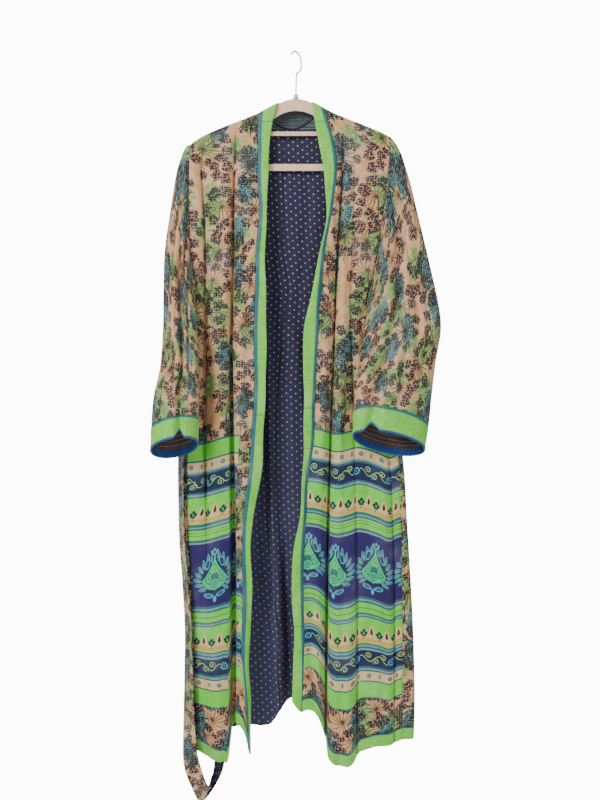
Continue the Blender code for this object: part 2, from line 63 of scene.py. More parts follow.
# Edges of each half: open edge of the band, seam of the band, armhole then side seam, outermost side
edges = {
    "right": table(
        "drop inner outer seam side",
        (95, 35, 70, 213, 221), (140, 47, 77, 214, 222), (211, 55.5, 78, 218, 226), (258, 58, 79, 219, 227),
        (325, 59.5, 75, 219, 227), (406, 61.5, 81, 216, 224), (480, 61.5, 83, 206, 213), (560, 61.5, 86, 207, 217),
        (713, 61.5, 86, 219, 229), (775, 65.6, 90, 222, 232), (867, 72, 97, 223, 234), (959, 88, 108, 222, 234),
        (1123, 90.5, 108.7, 214, 228), (1230, 96, 110, 209, 223), (1324, 92, 102.5, 208, 222),
        (1445, 94, 97.5, 207, 222),
    ),
    "left": table(
        "drop inner outer seam side",
        (95, 33, 52, 197, 205), (131, 36.5, 62, 196, 204), (187, 47, 78, 194, 202), (246, 56.6, 84, 188, 196),
        (293, 60, 79, 182, 190), (328, 61.5, 74, 178, 186), (406, 50, 60, 168, 176), (467, 38, 53, 157, 165),
        (510, 30, 49, 146, 153), (570, 15, 46, 154, 164), (652, 14.4, 42, 178, 190), (713, 16.4, 39, 191, 203),
        (806, 16.4, 36, 206, 217), (867, 12.3, 26, 213, 223), (959, 6.2, 20.5, 216, 228), (1021, -4, 16.4, 217, 232),
        (1226, -5, 16.4, 218, 242), (1328, -8, 13, 218, 244), (1460, -9, 9, 216, 240),
    ),
}
underarm = {"right": 488.0, "left": 515.0}
hemHeight = 25.0


def smooth(value, knots, numbers):
    # Cubic through the table's rows, each with the slope of its neighbours
    slopes = np.gradient(numbers, knots)
    value = np.asarray(value, float)
    row = np.clip(np.searchsorted(knots, value, side="right") - 1, 0, len(knots) - 2)
    span = knots[row + 1] - knots[row]
    t = np.clip((value - knots[row]) / span, 0, 1)
    climb = numbers[row + 1] - numbers[row]
    start, end = slopes[row] * span, slopes[row + 1] * span
    return numbers[row] + t * t * (3 - 2 * t) * climb + t * (1 - t) ** 2 * start - t * t * (1 - t) * end


def read(data, column, value, key="drop"):
    # A column of a table at any value of its key column
    return smooth(value, data[key], data[column])


def ease(value, low, high):
    # 0 below low, 1 above high, with a soft S between
    t = np.clip((value - low) / (high - low), 0, 1)
    return t * t * (3 - 2 * t)


def arch(share):
    # 0 at both ends of the share, 1 in its middle
    return np.sin(np.pi * np.clip(share, 0, 1)).clip(0)


def ridge(x):
    # Drop of the cloth's top line at x
    return read(shoulder, "drop", np.abs(x), "reach")


def halfDepth(x, drop):
    # Lens-shaped section: full in the middle, thin at the side bend
    edge = read(depth, "edge", drop)
    middle = read(depth, "middle", drop)
    side = np.where(x < 0, read(edges["right"], "side", drop), read(edges["left"], "side", drop))
    share = np.clip(np.abs(x) / (side - edge), 0, 1)
    return edge + (middle - edge) * (1 - share ** 2.4)


def shoulderRound(fallen):
    # Share of the depth reached this far below the top line: flat over the hanger, then down
    return np.interp(fallen, (0, 0.5, 2, 4, 8, 15, 30), (0.02, 0.5, 0.7, 0.82, 0.93, 0.98, 1))


def waves(across, drop, parts):
    # Sum of long slanting sines; each part gives wave length across, length down, phase and height
    total = 0
    for wide, tall, phase, height in parts:
        bend = 0.7 * np.sin(drop / 173 + phase * 2.3) + 0.4 * np.sin(across / 61 + drop / 97 + phase)
        total = total + height * np.sin(6.283 * (across / wide + drop / tall) + phase + bend)
    return total


def creases(across, drop, lines):
    # Each line is a soft trough (positive) or ridge (negative) from one point to another, tapered at both ends
    total = 0
    for x0, d0, x1, d1, width, height in lines:
        length = math.hypot(x1 - x0, d1 - d0)
        along = ((across - x0) * (x1 - x0) + (drop - d0) * (d1 - d0)) / length ** 2
        bow = 0.035 * length * arch(along)
        off = ((across - x0) * (d1 - d0) - (drop - d0) * (x1 - x0)) / length + bow
        taper = ease(along, 0, 0.3) * ease(1 - along, 0, 0.3)
        total = total + height * np.exp(-(off / width) ** 2) * taper
    return total


def gridNormals(grid, closed):
    # Unit normals of a grid of points, from its two directions
    across = np.roll(grid, -1, axis=1) - np.roll(grid, 1, axis=1) if closed else np.gradient(grid, axis=1)
    cross = np.cross(np.gradient(grid, axis=0), across)
    return cross / np.maximum(np.linalg.norm(cross, axis=2, keepdims=True), 1e-9)


def cellCorners(grid):
    # The four corners of each cell of a grid of numbers or places, in order round the cell
    return np.stack([grid[:-1, :-1], grid[:-1, 1:], grid[1:, 1:], grid[1:, :-1]], axis=2)


def shell(name, grid, flat, thickness, looks, closed=False, outward=None):
    # A thin closed shell: the grid pushed half a thickness out and in along its normals, with a rim round
    # every free edge. flat gives each point's place on the cut cloth, looks the outer and inner material.
    rows, columns = grid.shape[:2]
    normal = gridNormals(grid, closed)
    if outward is not None:
        normal = normal * np.sign((normal * outward(grid)).sum())
    turned = np.sign((np.cross(np.gradient(grid, axis=1), np.gradient(grid, axis=0)) * normal).sum()) > 0
    half = thickness / 2 * normal
    points = np.concatenate([(grid + half).reshape(-1, 3), (grid - half).reshape(-1, 3)])
    number = np.arange(rows * columns).reshape(rows, columns)
    places = np.concatenate([flat, flat[:, :1]], axis=1) if closed else flat
    if closed:
        places = places.copy()
        places[:, -1, 0] = flat[:, -1, 0] + (flat[:, -1, 0] - flat[:, -2, 0])
        number = np.hstack([number, number[:, :1]])
    spot = np.arange(places.shape[0] * places.shape[1]).reshape(places.shape[:2])
    outer = cellCorners(number).reshape(-1, 4)
    inner = outer + rows * columns
    outerSpot = cellCorners(spot).reshape(-1, 4)
    if turned:
        inner, innerSpot = inner[:, ::-1], outerSpot[:, ::-1]
    else:
        outer, outerSpot, innerSpot = outer[:, ::-1], outerSpot[:, ::-1], outerSpot
    rims = [(number[0, ::-1], spot[0, ::-1]), (number[-1], spot[-1])]
    if not closed:
        rims += [(number[:, 0], spot[:, 0]), (number[::-1, -1], spot[::-1, -1])]
    faces, spots, slots = [outer, inner], [outerSpot, innerSpot], [np.zeros(len(outer), int), np.ones(len(inner), int)]
    for line, place in rims:
        rim = np.stack([line[:-1], line[1:], line[1:] + rows * columns, line[:-1] + rows * columns], axis=-1)
        rimSpot = np.stack([place[:-1], place[1:], place[1:], place[:-1]], axis=-1)
        faces.append(rim if turned else rim[:, ::-1])
        spots.append(rimSpot if turned else rimSpot[:, ::-1])
        slots.append(np.zeros(len(rim), int))
    faces, spots, slots = np.concatenate(faces), np.concatenate(spots), np.concatenate(slots)
    return build(name, points * mm, faces, looks, places.reshape(-1, 2)[spots].reshape(-1, 2) * mm, slots)


def build(name, points, faces, looks, places, slots=None):
    # Whole arrays into a mesh, with the cut cloth's place of each corner as its UV map in metres
    data = bpy.data.meshes.new(name)
    data.vertices.add(len(points))
    data.vertices.foreach_set("co", points.ravel())
    data.loops.add(faces.size)
    data.loops.foreach_set("vertex_index", faces.ravel().astype(np.int32))
    data.polygons.add(len(faces))
    data.polygons.foreach_set("loop_start", np.arange(0, faces.size, faces.shape[1], dtype=np.int32))
    if slots is not None:
        data.polygons.foreach_set("material_index", slots.astype(np.int32))
    cut = data.uv_layers.new(name="cut")
    cut.data.foreach_set("uv", places.ravel())
    for look in looks:
        data.materials.append(look)
    data.update()
    data.validate()
    data.shade_smooth()
    piece = bpy.data.objects.new(name, data)
    bpy.context.scene.collection.objects.link(piece)
    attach(piece, "root")
    return piece


def seamDip(distance):
    # A sewn seam pulls the cloth in a little on both sides of it
    return 0.9 * np.exp(-(distance / 2.2) ** 2)


def rowShares(first, last, upperSteps, lowerSteps):
    # Rows as shares of the way to the underarm (1), to the hem's seam (2) and to the hem (3), closer near the top
    upper = (0, 0.0015, 0.012, 0.05, 0.12, 0.22, 0.35, 0.5, 0.62, 0.75, 0.88, 1)
    lower = (1, 1.07, 1.14, 1.21, 1.29, 1.38, 1.47, 1.56, 1.65, 1.74, 1.83, 1.92, 2)
    upperRows = np.interp(np.arange(0, len(upper) - 1, 1 / upperSteps), np.arange(len(upper)), upper)
    lowerRows = np.interp(np.arange(0, len(lower) - 1, 1 / lowerSteps), np.arange(len(lower)), lower)
    rows = np.concatenate([upperRows, lowerRows, np.linspace(2, 3, 9)])
    return rows[(rows >= first - 1e-9) & (rows <= last + 1e-9)]


def columnDrops(top, under, hem, rows):
    # Drop of each point: to the underarm, to the hem's seam and to the hem, for all rows and columns at once
    r = rows[:, None]
    seam = hem - hemHeight
    return (top + (under - top) * np.clip(r, 0, 1) + (seam - under) * np.clip(r - 1, 0, 1)
            + hemHeight * np.clip(r - 2, 0, 1))


# Fronts: the hem by reach, the long folds (where they run, how wide and deep, and how far the outer lip
# laps over), and soft creases as (reach, drop) to (reach, drop), half width and depth
foldColumns = "drop reach width depth lap"
fronts = {
    "right": {
        "hem": table(
            "reach drop",
            (90, 1436), (97, 1432), (103, 1400), (113, 1380), (127, 1379), (133, 1394), (138, 1440),
            (150, 1451), (166, 1450), (199, 1431), (207, 1428),
        ),
        "folds": (
            table(
                foldColumns,
                (120, 118, 9, 0, 0), (170, 122, 9, 8, 0), (240, 126, 9, 15, 0), (414, 129, 10, 19, 1),
                (600, 133, 12, 27, 2), (800, 132, 13, 36, 2), (960, 130, 15, 40, 2), (1123, 129, 16, 42, 2),
                (1445, 130, 15, 40, 1),
            ),
            table(
                foldColumns,
                (150, 196, 9, 0, 0), (215, 195, 9, 9, 0), (300, 191, 9, 14, 1), (414, 187, 10, 18, 1),
                (560, 188, 12, 28, 1), (720, 188, 13, 36, 1), (840, 187, 12, 32, 1), (920, 184, 11, 12, 0),
                (1000, 182, 10, 5, 0), (1445, 178, 10, 5, 0),
            ),
        ),
        "creases": (
            (95, 215, 130, 420, 7, 2.2), (150, 190, 128, 330, 9, -2.0), (205, 250, 165, 420, 8, 2.2),
            (170, 330, 110, 520, 9, -1.8), (205, 470, 150, 640, 9, 2.4), (160, 640, 195, 900, 10, -2.2),
            (110, 560, 100, 860, 7, 2.0), (150, 900, 165, 1250, 11, 2.4), (195, 1000, 205, 1420, 8, -2.5),
            (110, 960, 111, 1560, 10, 10.0), (180, 1180, 150, 1330, 9, -1.8), (100, 320, 92, 480, 6, -1.6),
            (145, 250, 150, 700, 8, 2.6), (165, 700, 160, 1000, 7, 2.2), (148, 1020, 142, 1440, 7, 2.6),
        ),
        "waves": ((88, 2600, 0.4, 1.5), (46, 1700, 2.2, 0.8), (160, 620, 4.0, 1.2), (27, 900, 1.1, 0.3)),
        "sway": table("reach shift", (108, -8), (135, -7), (160, 0), (185, 8), (215, 12), (245, 13)),
        "borderSlope": 0.0,
        "borderTop": 792.0,
        "borderFoot": 1462.0,
    },
    "left": {
        "hem": table(
            "reach drop",
            (-9, 1327), (9, 1349), (20, 1345), (50, 1372), (60, 1404), (70, 1442), (92, 1458), (114, 1457),
            (131, 1434), (152, 1424), (199, 1417), (216, 1408),
        ),
        "folds": (
            table(
                foldColumns,
                (150, 98, 9, 0, 0), (215, 97, 9, 8, 0), (390, 87, 9, 15, 2), (500, 82, 9, 17, 3),
                (650, 77, 10, 20, 4), (814, 71, 11, 24, 4), (1000, 66, 12, 26, 4), (1250, 63, 11, 26, 4),
                (1460, 61, 10, 24, 4),
            ),
            table(
                foldColumns,
                (150, 122, 9, 0, 0), (330, 120, 9, 5, 0), (510, 112, 9, 6, 0), (700, 118, 10, 5, 0),
                (900, 122, 10, 6, 1), (1100, 125, 11, 9, 1), (1300, 125, 11, 11, 2), (1460, 125, 11, 12, 2),
            ),
            table(
                foldColumns,
                (150, 172, 7, 0, 0), (426, 146, 6, 0, 0), (515, 130, 5, 0, 0), (600, 142, 5, 3, 0),
                (700, 170, 8, 5, 1), (860, 192, 8, 6, 1), (1000, 199, 8, 7, 1), (1200, 202, 8, 8, 1),
                (1460, 201, 8, 8, 1),
            ),
        ),
        "creases": (
            (70, 210, 105, 430, 7, 2.2), (130, 185, 110, 330, 9, -2.0), (175, 240, 150, 400, 8, 2.4),
            (155, 300, 110, 500, 8, -1.9), (60, 420, 66, 620, 7, 1.8), (140, 520, 165, 740, 9, 2.2),
            (100, 620, 95, 900, 9, -2.0), (160, 800, 150, 1100, 11, 2.4), (95, 980, 85, 1380, 9, 2.0),
            (180, 1050, 170, 1380, 10, -2.4), (145, 1180, 140, 1420, 8, 1.8), (30, 700, 34, 1000, 6, 1.5),
            (116, 220, 112, 480, 7, 3.0), (88, 640, 92, 1000, 8, 2.4), (52, 620, 46, 1400, 10, 5.5),
        ),
        "waves": ((92, 2300, 1.4, 1.4), (49, 1500, 3.1, 0.8), (150, 700, 0.6, 1.2), (29, 1000, 5.1, 0.3)),
        "sway": table("reach shift", (0, -4), (46, -2), (82, 6), (131, -3), (165, 6), (198, 15), (206, 10), (240, 8)),
        "borderSlope": 0.03,
        "borderTop": 777.0,
        "borderFoot": 1457.0,
    },
}
borderHeight = 683.0


# Drops at which the lengths of the front bands are joined
bandSeams = {"right": (143.5, 744.0), "left": (143.5, 730.0, 812.0, 1175.0)}


def frontPoint(half, reach, drop, fallen):
    # Front wall: lens depth, rounded shoulder, long lapping folds, soft creases and slow waves. A fold is a
    # narrow slit in a wide trough with a low lip outside it; deep ones get a flat bottom and steep walls.
    piece = fronts[half]
    sign = -1 if half == "right" else 1
    room = halfDepth(sign * reach, drop)
    inward, aside = np.zeros_like(reach), np.zeros_like(reach)
    for line in piece["folds"]:
        off = (reach - read(line, "reach", drop)) / read(line, "width", drop)
        deep = np.minimum(read(line, "depth", drop), 1.7 * room - 4)
        square = ease(deep, 22, 34)
        slit = 1 - ease(np.abs(off), 0.06 + 0.3 * square, 0.5 + 0.08 * square)
        trough = 1 - ease(np.abs(off), 0.1, 1.5)
        lip = 0.1 * deep * np.exp(-((np.abs(off) - 1.8) / 0.6) ** 2)
        inward += deep * ((0.62 + 0.28 * square) * slit + (0.38 - 0.28 * square) * trough) - lip
        aside -= read(line, "lap", drop) * np.exp(-((off - 0.85) / 0.55) ** 2)
    loose = ease(fallen, 10, 220)
    inward += loose * creases(reach, drop, piece["creases"])
    inward += loose * waves(reach, drop, piece["waves"])
    y = read(depth, "lean", drop) - room * shoulderRound(fallen) + inward * np.clip(fallen / 60, 0, 1)
    return np.stack([sign * (reach + aside * np.clip(fallen / 60, 0, 1)), y, -drop], axis=-1)


def panelKnots(half, drop):
    # Reaches that a front panel's columns run through: its two edges, each fold and its lips
    reaches = [read(edges[half], "outer", drop)]
    for line in fronts[half]["folds"]:
        centre, width = read(line, "reach", drop), read(line, "width", drop)
        reaches += [(reaches[-1] + centre - width) / 2, centre - width, centre, centre + width]
    end = read(edges[half], "seam", drop)
    return np.stack(reaches + [(reaches[-1] + end) / 2, end])


def bandKnots(half, drop):
    # A front band's columns run between its two edges
    return np.stack([read(edges[half], "inner", drop), read(edges[half], "outer", drop)])


def spread(knots, place):
    # Reaches between the knots, for places counted in knots
    low = np.clip(np.floor(place).astype(int), 0, len(knots) - 2)
    low = np.broadcast_to(low, knots.shape[1:])
    first = np.take_along_axis(knots, low[None], 0)[0]
    second = np.take_along_axis(knots, low[None] + 1, 0)[0]
    return first + (second - first) * (place - low)


def frontGrid(half, knots, steps, rows):
    # All points of a front piece with their reach and drop
    count = len(knots(half, np.array(500.0)))
    place = np.linspace(0, count - 1, (count - 1) * steps + 1)
    line = np.ones((1, len(place)))
    foot = spread(knots(half, 1400 * line), place)
    hem = read(fronts[half]["hem"], "drop", foot, "reach")
    top = 130 * line
    for _ in range(7):
        top = ridge(spread(knots(half, top), place))
    drop = columnDrops(top, underarm[half], hem, rows)
    reach = spread(knots(half, drop), place)
    return frontPoint(half, reach, drop, drop - top), reach, drop, hem


def clothHeight(half, reach, drop, hem):
    # Height above the hem on the cut cloth, where the border runs straight: the lines follow the hem's
    # waves near the hem and less and less above it. Sway shifts them by reach, most in the upper border.
    sway = read(fronts[half]["sway"], "shift", reach, "reach")
    drop = drop - sway * ease(drop, 600, 760) * (1 - 0.55 * ease(drop, 1100, 1400))
    piece = fronts[half]
    foot = piece["borderFoot"]
    scale = borderHeight / (foot - piece["borderTop"])
    slope = piece["borderSlope"] * (reach - 165)
    height = (foot - drop) * scale
    for _ in range(8):
        share = np.clip(1 - height / borderHeight, 0, 1)
        height = (foot + (hem - foot) * share ** 2 + slope - drop) * scale
    return height


def acrossCloth(grid, start=0.0):
    # Distance across the cloth along each row, folds included
    step = np.linalg.norm(np.diff(grid[..., :2], axis=1), axis=2)
    return start + np.concatenate([np.zeros((len(grid), 1)), np.cumsum(step, axis=1)], axis=1)


def outFront(grid):
    return np.array([0.0, -1.0, 0.0])


def outBack(grid):
    return np.array([0.0, 1.0, 0.0])


clothThick, liningThick = 1.1, 0.7
layerGap = 1.9  # from the middle of an outer cloth to the middle of its lining
frontSteps, backSteps = (9, 14), (8, 12)  # rows between two shares, above and below the underarm
backColumns, sleeveTurns = 161, 132


def sewn(node):
    # Hides the imported part that a cloth piece stands for
    if node:
        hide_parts(node)


def makeFront(half, looks):
    # Front panel, its hem band and the band down its open edge, each as a shell
    sign = -1 if half == "right" else 1
    rows = rowShares(0, 2, *frontSteps)
    grid, reach, drop, hem = frontGrid(half, panelKnots, 9, rows)
    toBand = reach - read(edges[half], "outer", drop)
    toSide = read(edges[half], "seam", drop) - reach
    toHem = hem - hemHeight - drop
    grid[..., 1] += seamDip(toBand) + seamDip(toSide) + seamDip(toHem)
    nearSeams = np.exp(-(toBand / 7) ** 2) + np.exp(-(toSide / 8) ** 2)
    pucker = 0.35 * np.sin(drop / 2.9 + 2 * np.sin(drop / 23)) * nearSeams
    grid[..., 1] += pucker * ease(drop, 150, 200)
    flat = np.stack([acrossCloth(grid), clothHeight(half, reach, drop, hem)], axis=-1)
    panel = shell("front_panel_" + half, grid, flat, clothThick, (looks["print" + half.title()], looks["dotted"]),
                  outward=outFront)
    sewn("front_" + half)

    rows = rowShares(2, 3, *frontSteps)
    grid, reach, drop, hem = frontGrid(half, panelKnots, 9, rows)
    height = hem - drop
    grid[..., 1] += seamDip(hemHeight - height) - 0.5 * np.exp(-((height - 3) / 4) ** 2)
    grid[..., 1] += 0.5 * np.sin(acrossCloth(grid) / 4.3 + 1.5 * np.sin(reach / 19)) * np.exp(-((height - 14) / 9) ** 2)
    hemPiece = shell("hem_band_" + half, grid, np.stack([acrossCloth(grid), height], axis=-1), clothThick + 0.4,
                     (looks["hem"], looks["hem"]), outward=outFront)
    sewn("hem_front_" + half)

    rows = rowShares(0, 3, *frontSteps)
    grid, reach, drop, hem = frontGrid(half, bandKnots, 12, rows)
    inner, outer = read(edges[half], "inner", drop), read(edges[half], "outer", drop)
    share = (reach - inner) / (outer - inner)
    soft = ease(drop, 140, 260)
    crown = 1.3 * arch(share) ** 0.7 + 0.5 * waves(reach, drop, ((60, 210, 1, 1), (35, 90, 2.6, 0.8)))
    grid[..., 1] += seamDip(outer - reach) - crown * (0.4 + 0.6 * soft)
    for place in bandSeams[half]:
        grid[..., 1] += 0.7 * np.exp(-((drop - place) / 2.2) ** 2)
    wander = soft * (1.1 * np.sin(drop / 47 + sign) + 0.7 * np.sin(drop / 19 + 2 * sign)) * (1 - share) ** 2
    grid[..., 0] += sign * wander
    band = shell("open_band_" + half, grid, np.stack([outer - reach, drop], axis=-1), clothThick + 0.5,
                 (looks["band" + half.title()], looks["band" + half.title()]), outward=outFront)
    sewn("front_band_" + half)


# Back: its columns by their x at the shoulder with the depth of the fold on each, the hem by x, slow waves
# and soft creases as (x, drop) to (x, drop), half width and height
back = {
    "columns": table(
        "x fold",
        (-213, 0), (-184, 3), (-151, -5), (-110, 5), (-88, -1), (-70, -3), (-60, -2), (-50, 7), (-36, -3), (-20, -3),
        (-2, 3), (16, 3), (32, -3), (42, -2), (50, 2), (72, -1), (100, -5), (130, 5), (160, -2), (178, 0), (197, 0),
    ),
    "hem": table(
        "x drop",
        (-212, 1428), (-150, 1396), (-92, 1382), (-70, 1386), (-45, 1376), (-28, 1342), (-10, 1330), (30, 1342),
        (90, 1374), (170, 1394), (231, 1408),
    ),
    "waves": ((96, 2600, 2.4, 1.6), (47, 1900, 0.7, 0.8), (170, 640, 3.0, 1.3), (28, 1100, 4.4, 0.3)),
    "creases": (
        (-190, 200, -120, 430, 9, 2.2), (-150, 190, -60, 380, 10, -1.8), (175, 210, 110, 420, 9, 2.2),
        (130, 190, 60, 360, 10, -1.9), (-160, 430, -90, 640, 10, 2.0), (120, 430, 70, 660, 10, 2.0),
        (-40, 300, -45, 620, 9, -1.6), (30, 320, 40, 700, 9, 1.8), (-130, 700, -150, 1100, 11, 2.4),
        (-60, 760, -66, 1250, 10, -2.2), (80, 760, 90, 1200, 11, 2.4), (150, 820, 165, 1380, 10, -2.2),
        (10, 860, 4, 1330, 10, 2.2), (-180, 1100, -185, 1400, 8, 2.0), (-100, 1120, -96, 1380, 9, 1.8),
    ),
    "borderTop": 780.0,
    "borderFoot": 1440.0,
}
# Neck opening: seam row and free edge row of the neck band
neck = table(
    "left right drop depth",
    (-70, 52, 154, 20), (-35, 33, 104, 14),
)


def neckArc(row, x):
    # How far round the neck's half circle a point lies: 0 at its ends, 1 in the middle of the back
    middle = (neck["left"][row] + neck["right"][row]) / 2
    radius = (neck["right"][row] - neck["left"][row]) / 2
    return np.sqrt(np.clip(1 - ((x - middle) / radius) ** 2, 0, 1))


def neckLine(row, x):
    # Drop and y of the neck seam (row 0) or of the neck band's top edge (row 1)
    arc = neckArc(row, x)
    return ridge(x) + (neck["drop"][row] - ridge(x)) * arc ** 1.5, 0.6 + neck["depth"][row] * np.sqrt(arc)


def backAcross(share, drop):
    # x of the back's columns: from armhole to armhole above, from side bend to side bend below the underarm
    ends = []
    for half in ("right", "left"):
        armhole = read(edges[half], "seam", drop)
        bend = read(edges[half], "side", drop) - read(depth, "edge", drop)
        ends.append(armhole + (bend - armhole) * ease(drop, underarm[half] - 6, underarm[half] + 6))
    return -ends[0] + share * (ends[0] + ends[1])


def backGrid(rows, count, first=0.0, last=1.0):
    # The back between its armholes or side bends, with its folds, waves and creases
    share = np.linspace(first, last, count)[None]
    foot = backAcross(share, 1400 + 0 * share)
    hem = read(back["hem"], "drop", foot, "x")
    under = underarm["right"] + share * (underarm["left"] - underarm["right"])
    top = 130 + 0 * share
    for _ in range(7):
        topX = backAcross(share, top)
        top = neckLine(0, topX)[0]
    inNeck = np.minimum(1, 3 * neckArc(0, topX))
    drop = columnDrops(top, under, hem, rows)
    x = backAcross(share, drop)
    fallen = drop - top
    neckY = neckLine(0, topX)[1] * np.exp(-fallen / 50) * inNeck
    room = np.maximum(halfDepth(x, drop) * shoulderRound(fallen), neckY)
    at = back["columns"]["x"][0] + share * np.ptp(back["columns"]["x"])
    fold = smooth(at, back["columns"]["x"], back["columns"]["fold"]) * 1.4 * np.clip((drop - 200) / 900, 0, 1)
    loose = ease(fallen, 15, 240) * ease(1 - np.abs(2 * share - 1), 0, 0.06)
    fold = fold + loose * (creases(x, drop, back["creases"]) + waves(x, drop, back["waves"]))
    grid = np.stack([x, read(depth, "lean", drop) + room - fold, -drop], axis=-1)
    return grid, x, drop, hem


def backHeight(drop, hem):
    # Height above the hem on the cut cloth: the lines follow the hem near it and run level higher up
    foot = back["borderFoot"]
    scale = borderHeight / (foot - back["borderTop"])
    height = (foot - drop) * scale
    for _ in range(8):
        lift = np.clip(1 - height / borderHeight, 0, 1)
        height = (foot + (hem - foot) * lift ** 2 - drop) * scale
    return height


def sideStrip(half, rows, count):
    # From the back's edge round the side bend and forward to the side seam
    sign = -1 if half == "right" else 1
    end = backGrid(rows, 3, 0.0 if half == "right" else 1.0, 0.0 if half == "right" else 1.0)
    drop, hem = end[2][:, :1], end[3][:, :1]
    radius, lean = read(depth, "edge", drop), read(depth, "lean", drop)
    side = read(edges[half], "side", drop)
    turn = np.linspace(0, 1, count)[None]
    angle = np.radians(90 - 180 * np.clip(turn / 0.6, 0, 1))
    x = side - radius * (1 - np.cos(angle))
    y = lean + radius * np.sin(angle)
    seam = np.minimum(read(edges[half], "seam", drop), side - radius - 0.5)
    forward = np.clip((turn - 0.6) / 0.4, 0, 1)
    x = x + (seam - x) * forward
    y = np.where(forward > 0, lean - halfDepth(sign * x, drop), y)
    y = y + 0.8 * np.sin(drop / 41 + sign) * arch(turn) + seamDip(x - seam) * (forward > 0)
    return np.stack([sign * x, y, -drop + 0 * x], axis=-1), drop + 0 * x, hem + 0 * x


def makeBack(looks):
    # Back panel, its hem band and the two strips that wrap forward, each with a hem
    rows = rowShares(0, 2, *backSteps)
    grid, x, drop, hem = backGrid(rows, backColumns)
    toHem = hem - hemHeight - drop
    grid[..., 1] -= seamDip(toHem)
    flat = np.stack([x, backHeight(drop, hem)], axis=-1)
    panel = shell("back_panel", grid, flat, clothThick, (looks["printBack"], looks["dotted"]), outward=outBack)
    sewn("back")

    rows = rowShares(2, 3, *backSteps)
    grid, x, drop, hem = backGrid(rows, backColumns)
    height = hem - drop
    grid[..., 1] -= seamDip(hemHeight - height) - 0.5 * np.exp(-((height - 3) / 4) ** 2)
    hemPiece = shell("hem_band_back", grid, np.stack([x, height], axis=-1), clothThick + 0.4,
                     (looks["hem"], looks["hem"]), outward=outBack)
    sewn("hem_back")

    for half in ("right", "left"):
        sign = -1 if half == "right" else 1
        for name, first, last, look in (("side_strip_", 1, 2, "floral"), ("side_hem_", 2, 3, "hem")):
            rows = rowShares(first, last, *backSteps)
            grid, drop, hem = sideStrip(half, rows, 29)
            height = hem - drop
            flat = np.stack([acrossCloth(grid), height], axis=-1)
            strip = shell(name + half, grid, flat, clothThick, (looks[look], looks["dotted" if first == 1 else "hem"]),
                          outward=lambda g, s=sign: np.array([s, 0.0, 0.0]))
            sewn(None)


def makeLining(looks):
    # The back's own surface moved inwards, with its own soft folds into the hollow
    rows = rowShares(0.012, 3, *backSteps)
    grid, x, drop, _ = backGrid(rows, 121, 0.012, 0.988)
    grid[..., 2] -= 2.0 * ease(rows, 2, 3)[:, None]
    normal = gridNormals(grid, False)
    normal *= np.sign(normal[..., 1].sum())
    own = 0.8 + 0.8 * waves(x, drop, ((74, 2100, 0.9, 0.5), (140, 800, 2.9, 0.5)))
    own = own + creases(x, drop, (
        (-34, 1080, -36, 1340, 6, 5.0), (-20, 900, -18, 1330, 9, 3.0), (-75, 700, -84, 1300, 9, 3.0),
        (-60, 480, -40, 760, 10, 2.0), (20, 420, 30, 900, 9, 2.5), (60, 700, 66, 1300, 10, 3.0),
        (-8, 200, -6, 420, 6, 1.5),
    ))
    own = np.maximum(own, 0) * ease(drop, 160, 300)
    grid = grid - (layerGap + own[..., None]) * normal
    flat = np.stack([acrossCloth(grid, -200), back["borderFoot"] - drop], axis=-1)
    lining = shell("dotted_back_lining", grid, flat, liningThick, (looks["dotted"], looks["backLining"]),
                   outward=outBack)
    sewn("back_lining")


def makeNeck(looks):
    # Band round the back of the neck from its seam to its free edge, with the woven facing on its inside
    x0 = np.linspace(neck["left"][0], neck["right"][0], 91)
    middle, radius = (neck["left"] + neck["right"]) / 2, (neck["right"] - neck["left"]) / 2
    lines = []
    for row in (0, 1):
        x = middle[row] + radius[row] * (x0 - middle[0]) / radius[0]
        drop, y = neckLine(row, x)
        lines.append(np.stack([x, y, -drop], axis=-1))
    t = np.linspace(0, 1, 15)[:, None, None]
    grid = lines[1][None] + t * (lines[0] - lines[1])[None]
    grid[..., 1] += 1.2 * arch(t[..., 0])
    length = np.concatenate([[0], np.cumsum(np.linalg.norm(np.diff(lines[0], axis=0), axis=1))])
    height = np.linalg.norm(lines[0] - lines[1], axis=1)[None] * (1 - t[..., 0])
    flat = np.stack([height, np.broadcast_to(length, height.shape)], axis=-1)
    band = shell("neck_band_cloth", grid, flat, clothThick + 0.4, (looks["band"], looks["band"]), outward=outBack)
    sewn("neck_band")
    normal = gridNormals(grid, False)
    normal *= np.sign(normal[..., 1].sum())
    inside = (grid - layerGap * normal)[:, 4:-4]
    inside[0] += 0.05 * (inside[3] - inside[0])
    facing = shell("neck_facing_cloth", inside, flat[:, 4:-4, ::-1], liningThick, (looks["brocade"], looks["brocade"]),
                   outward=outBack)
    sewn("neck_facing")


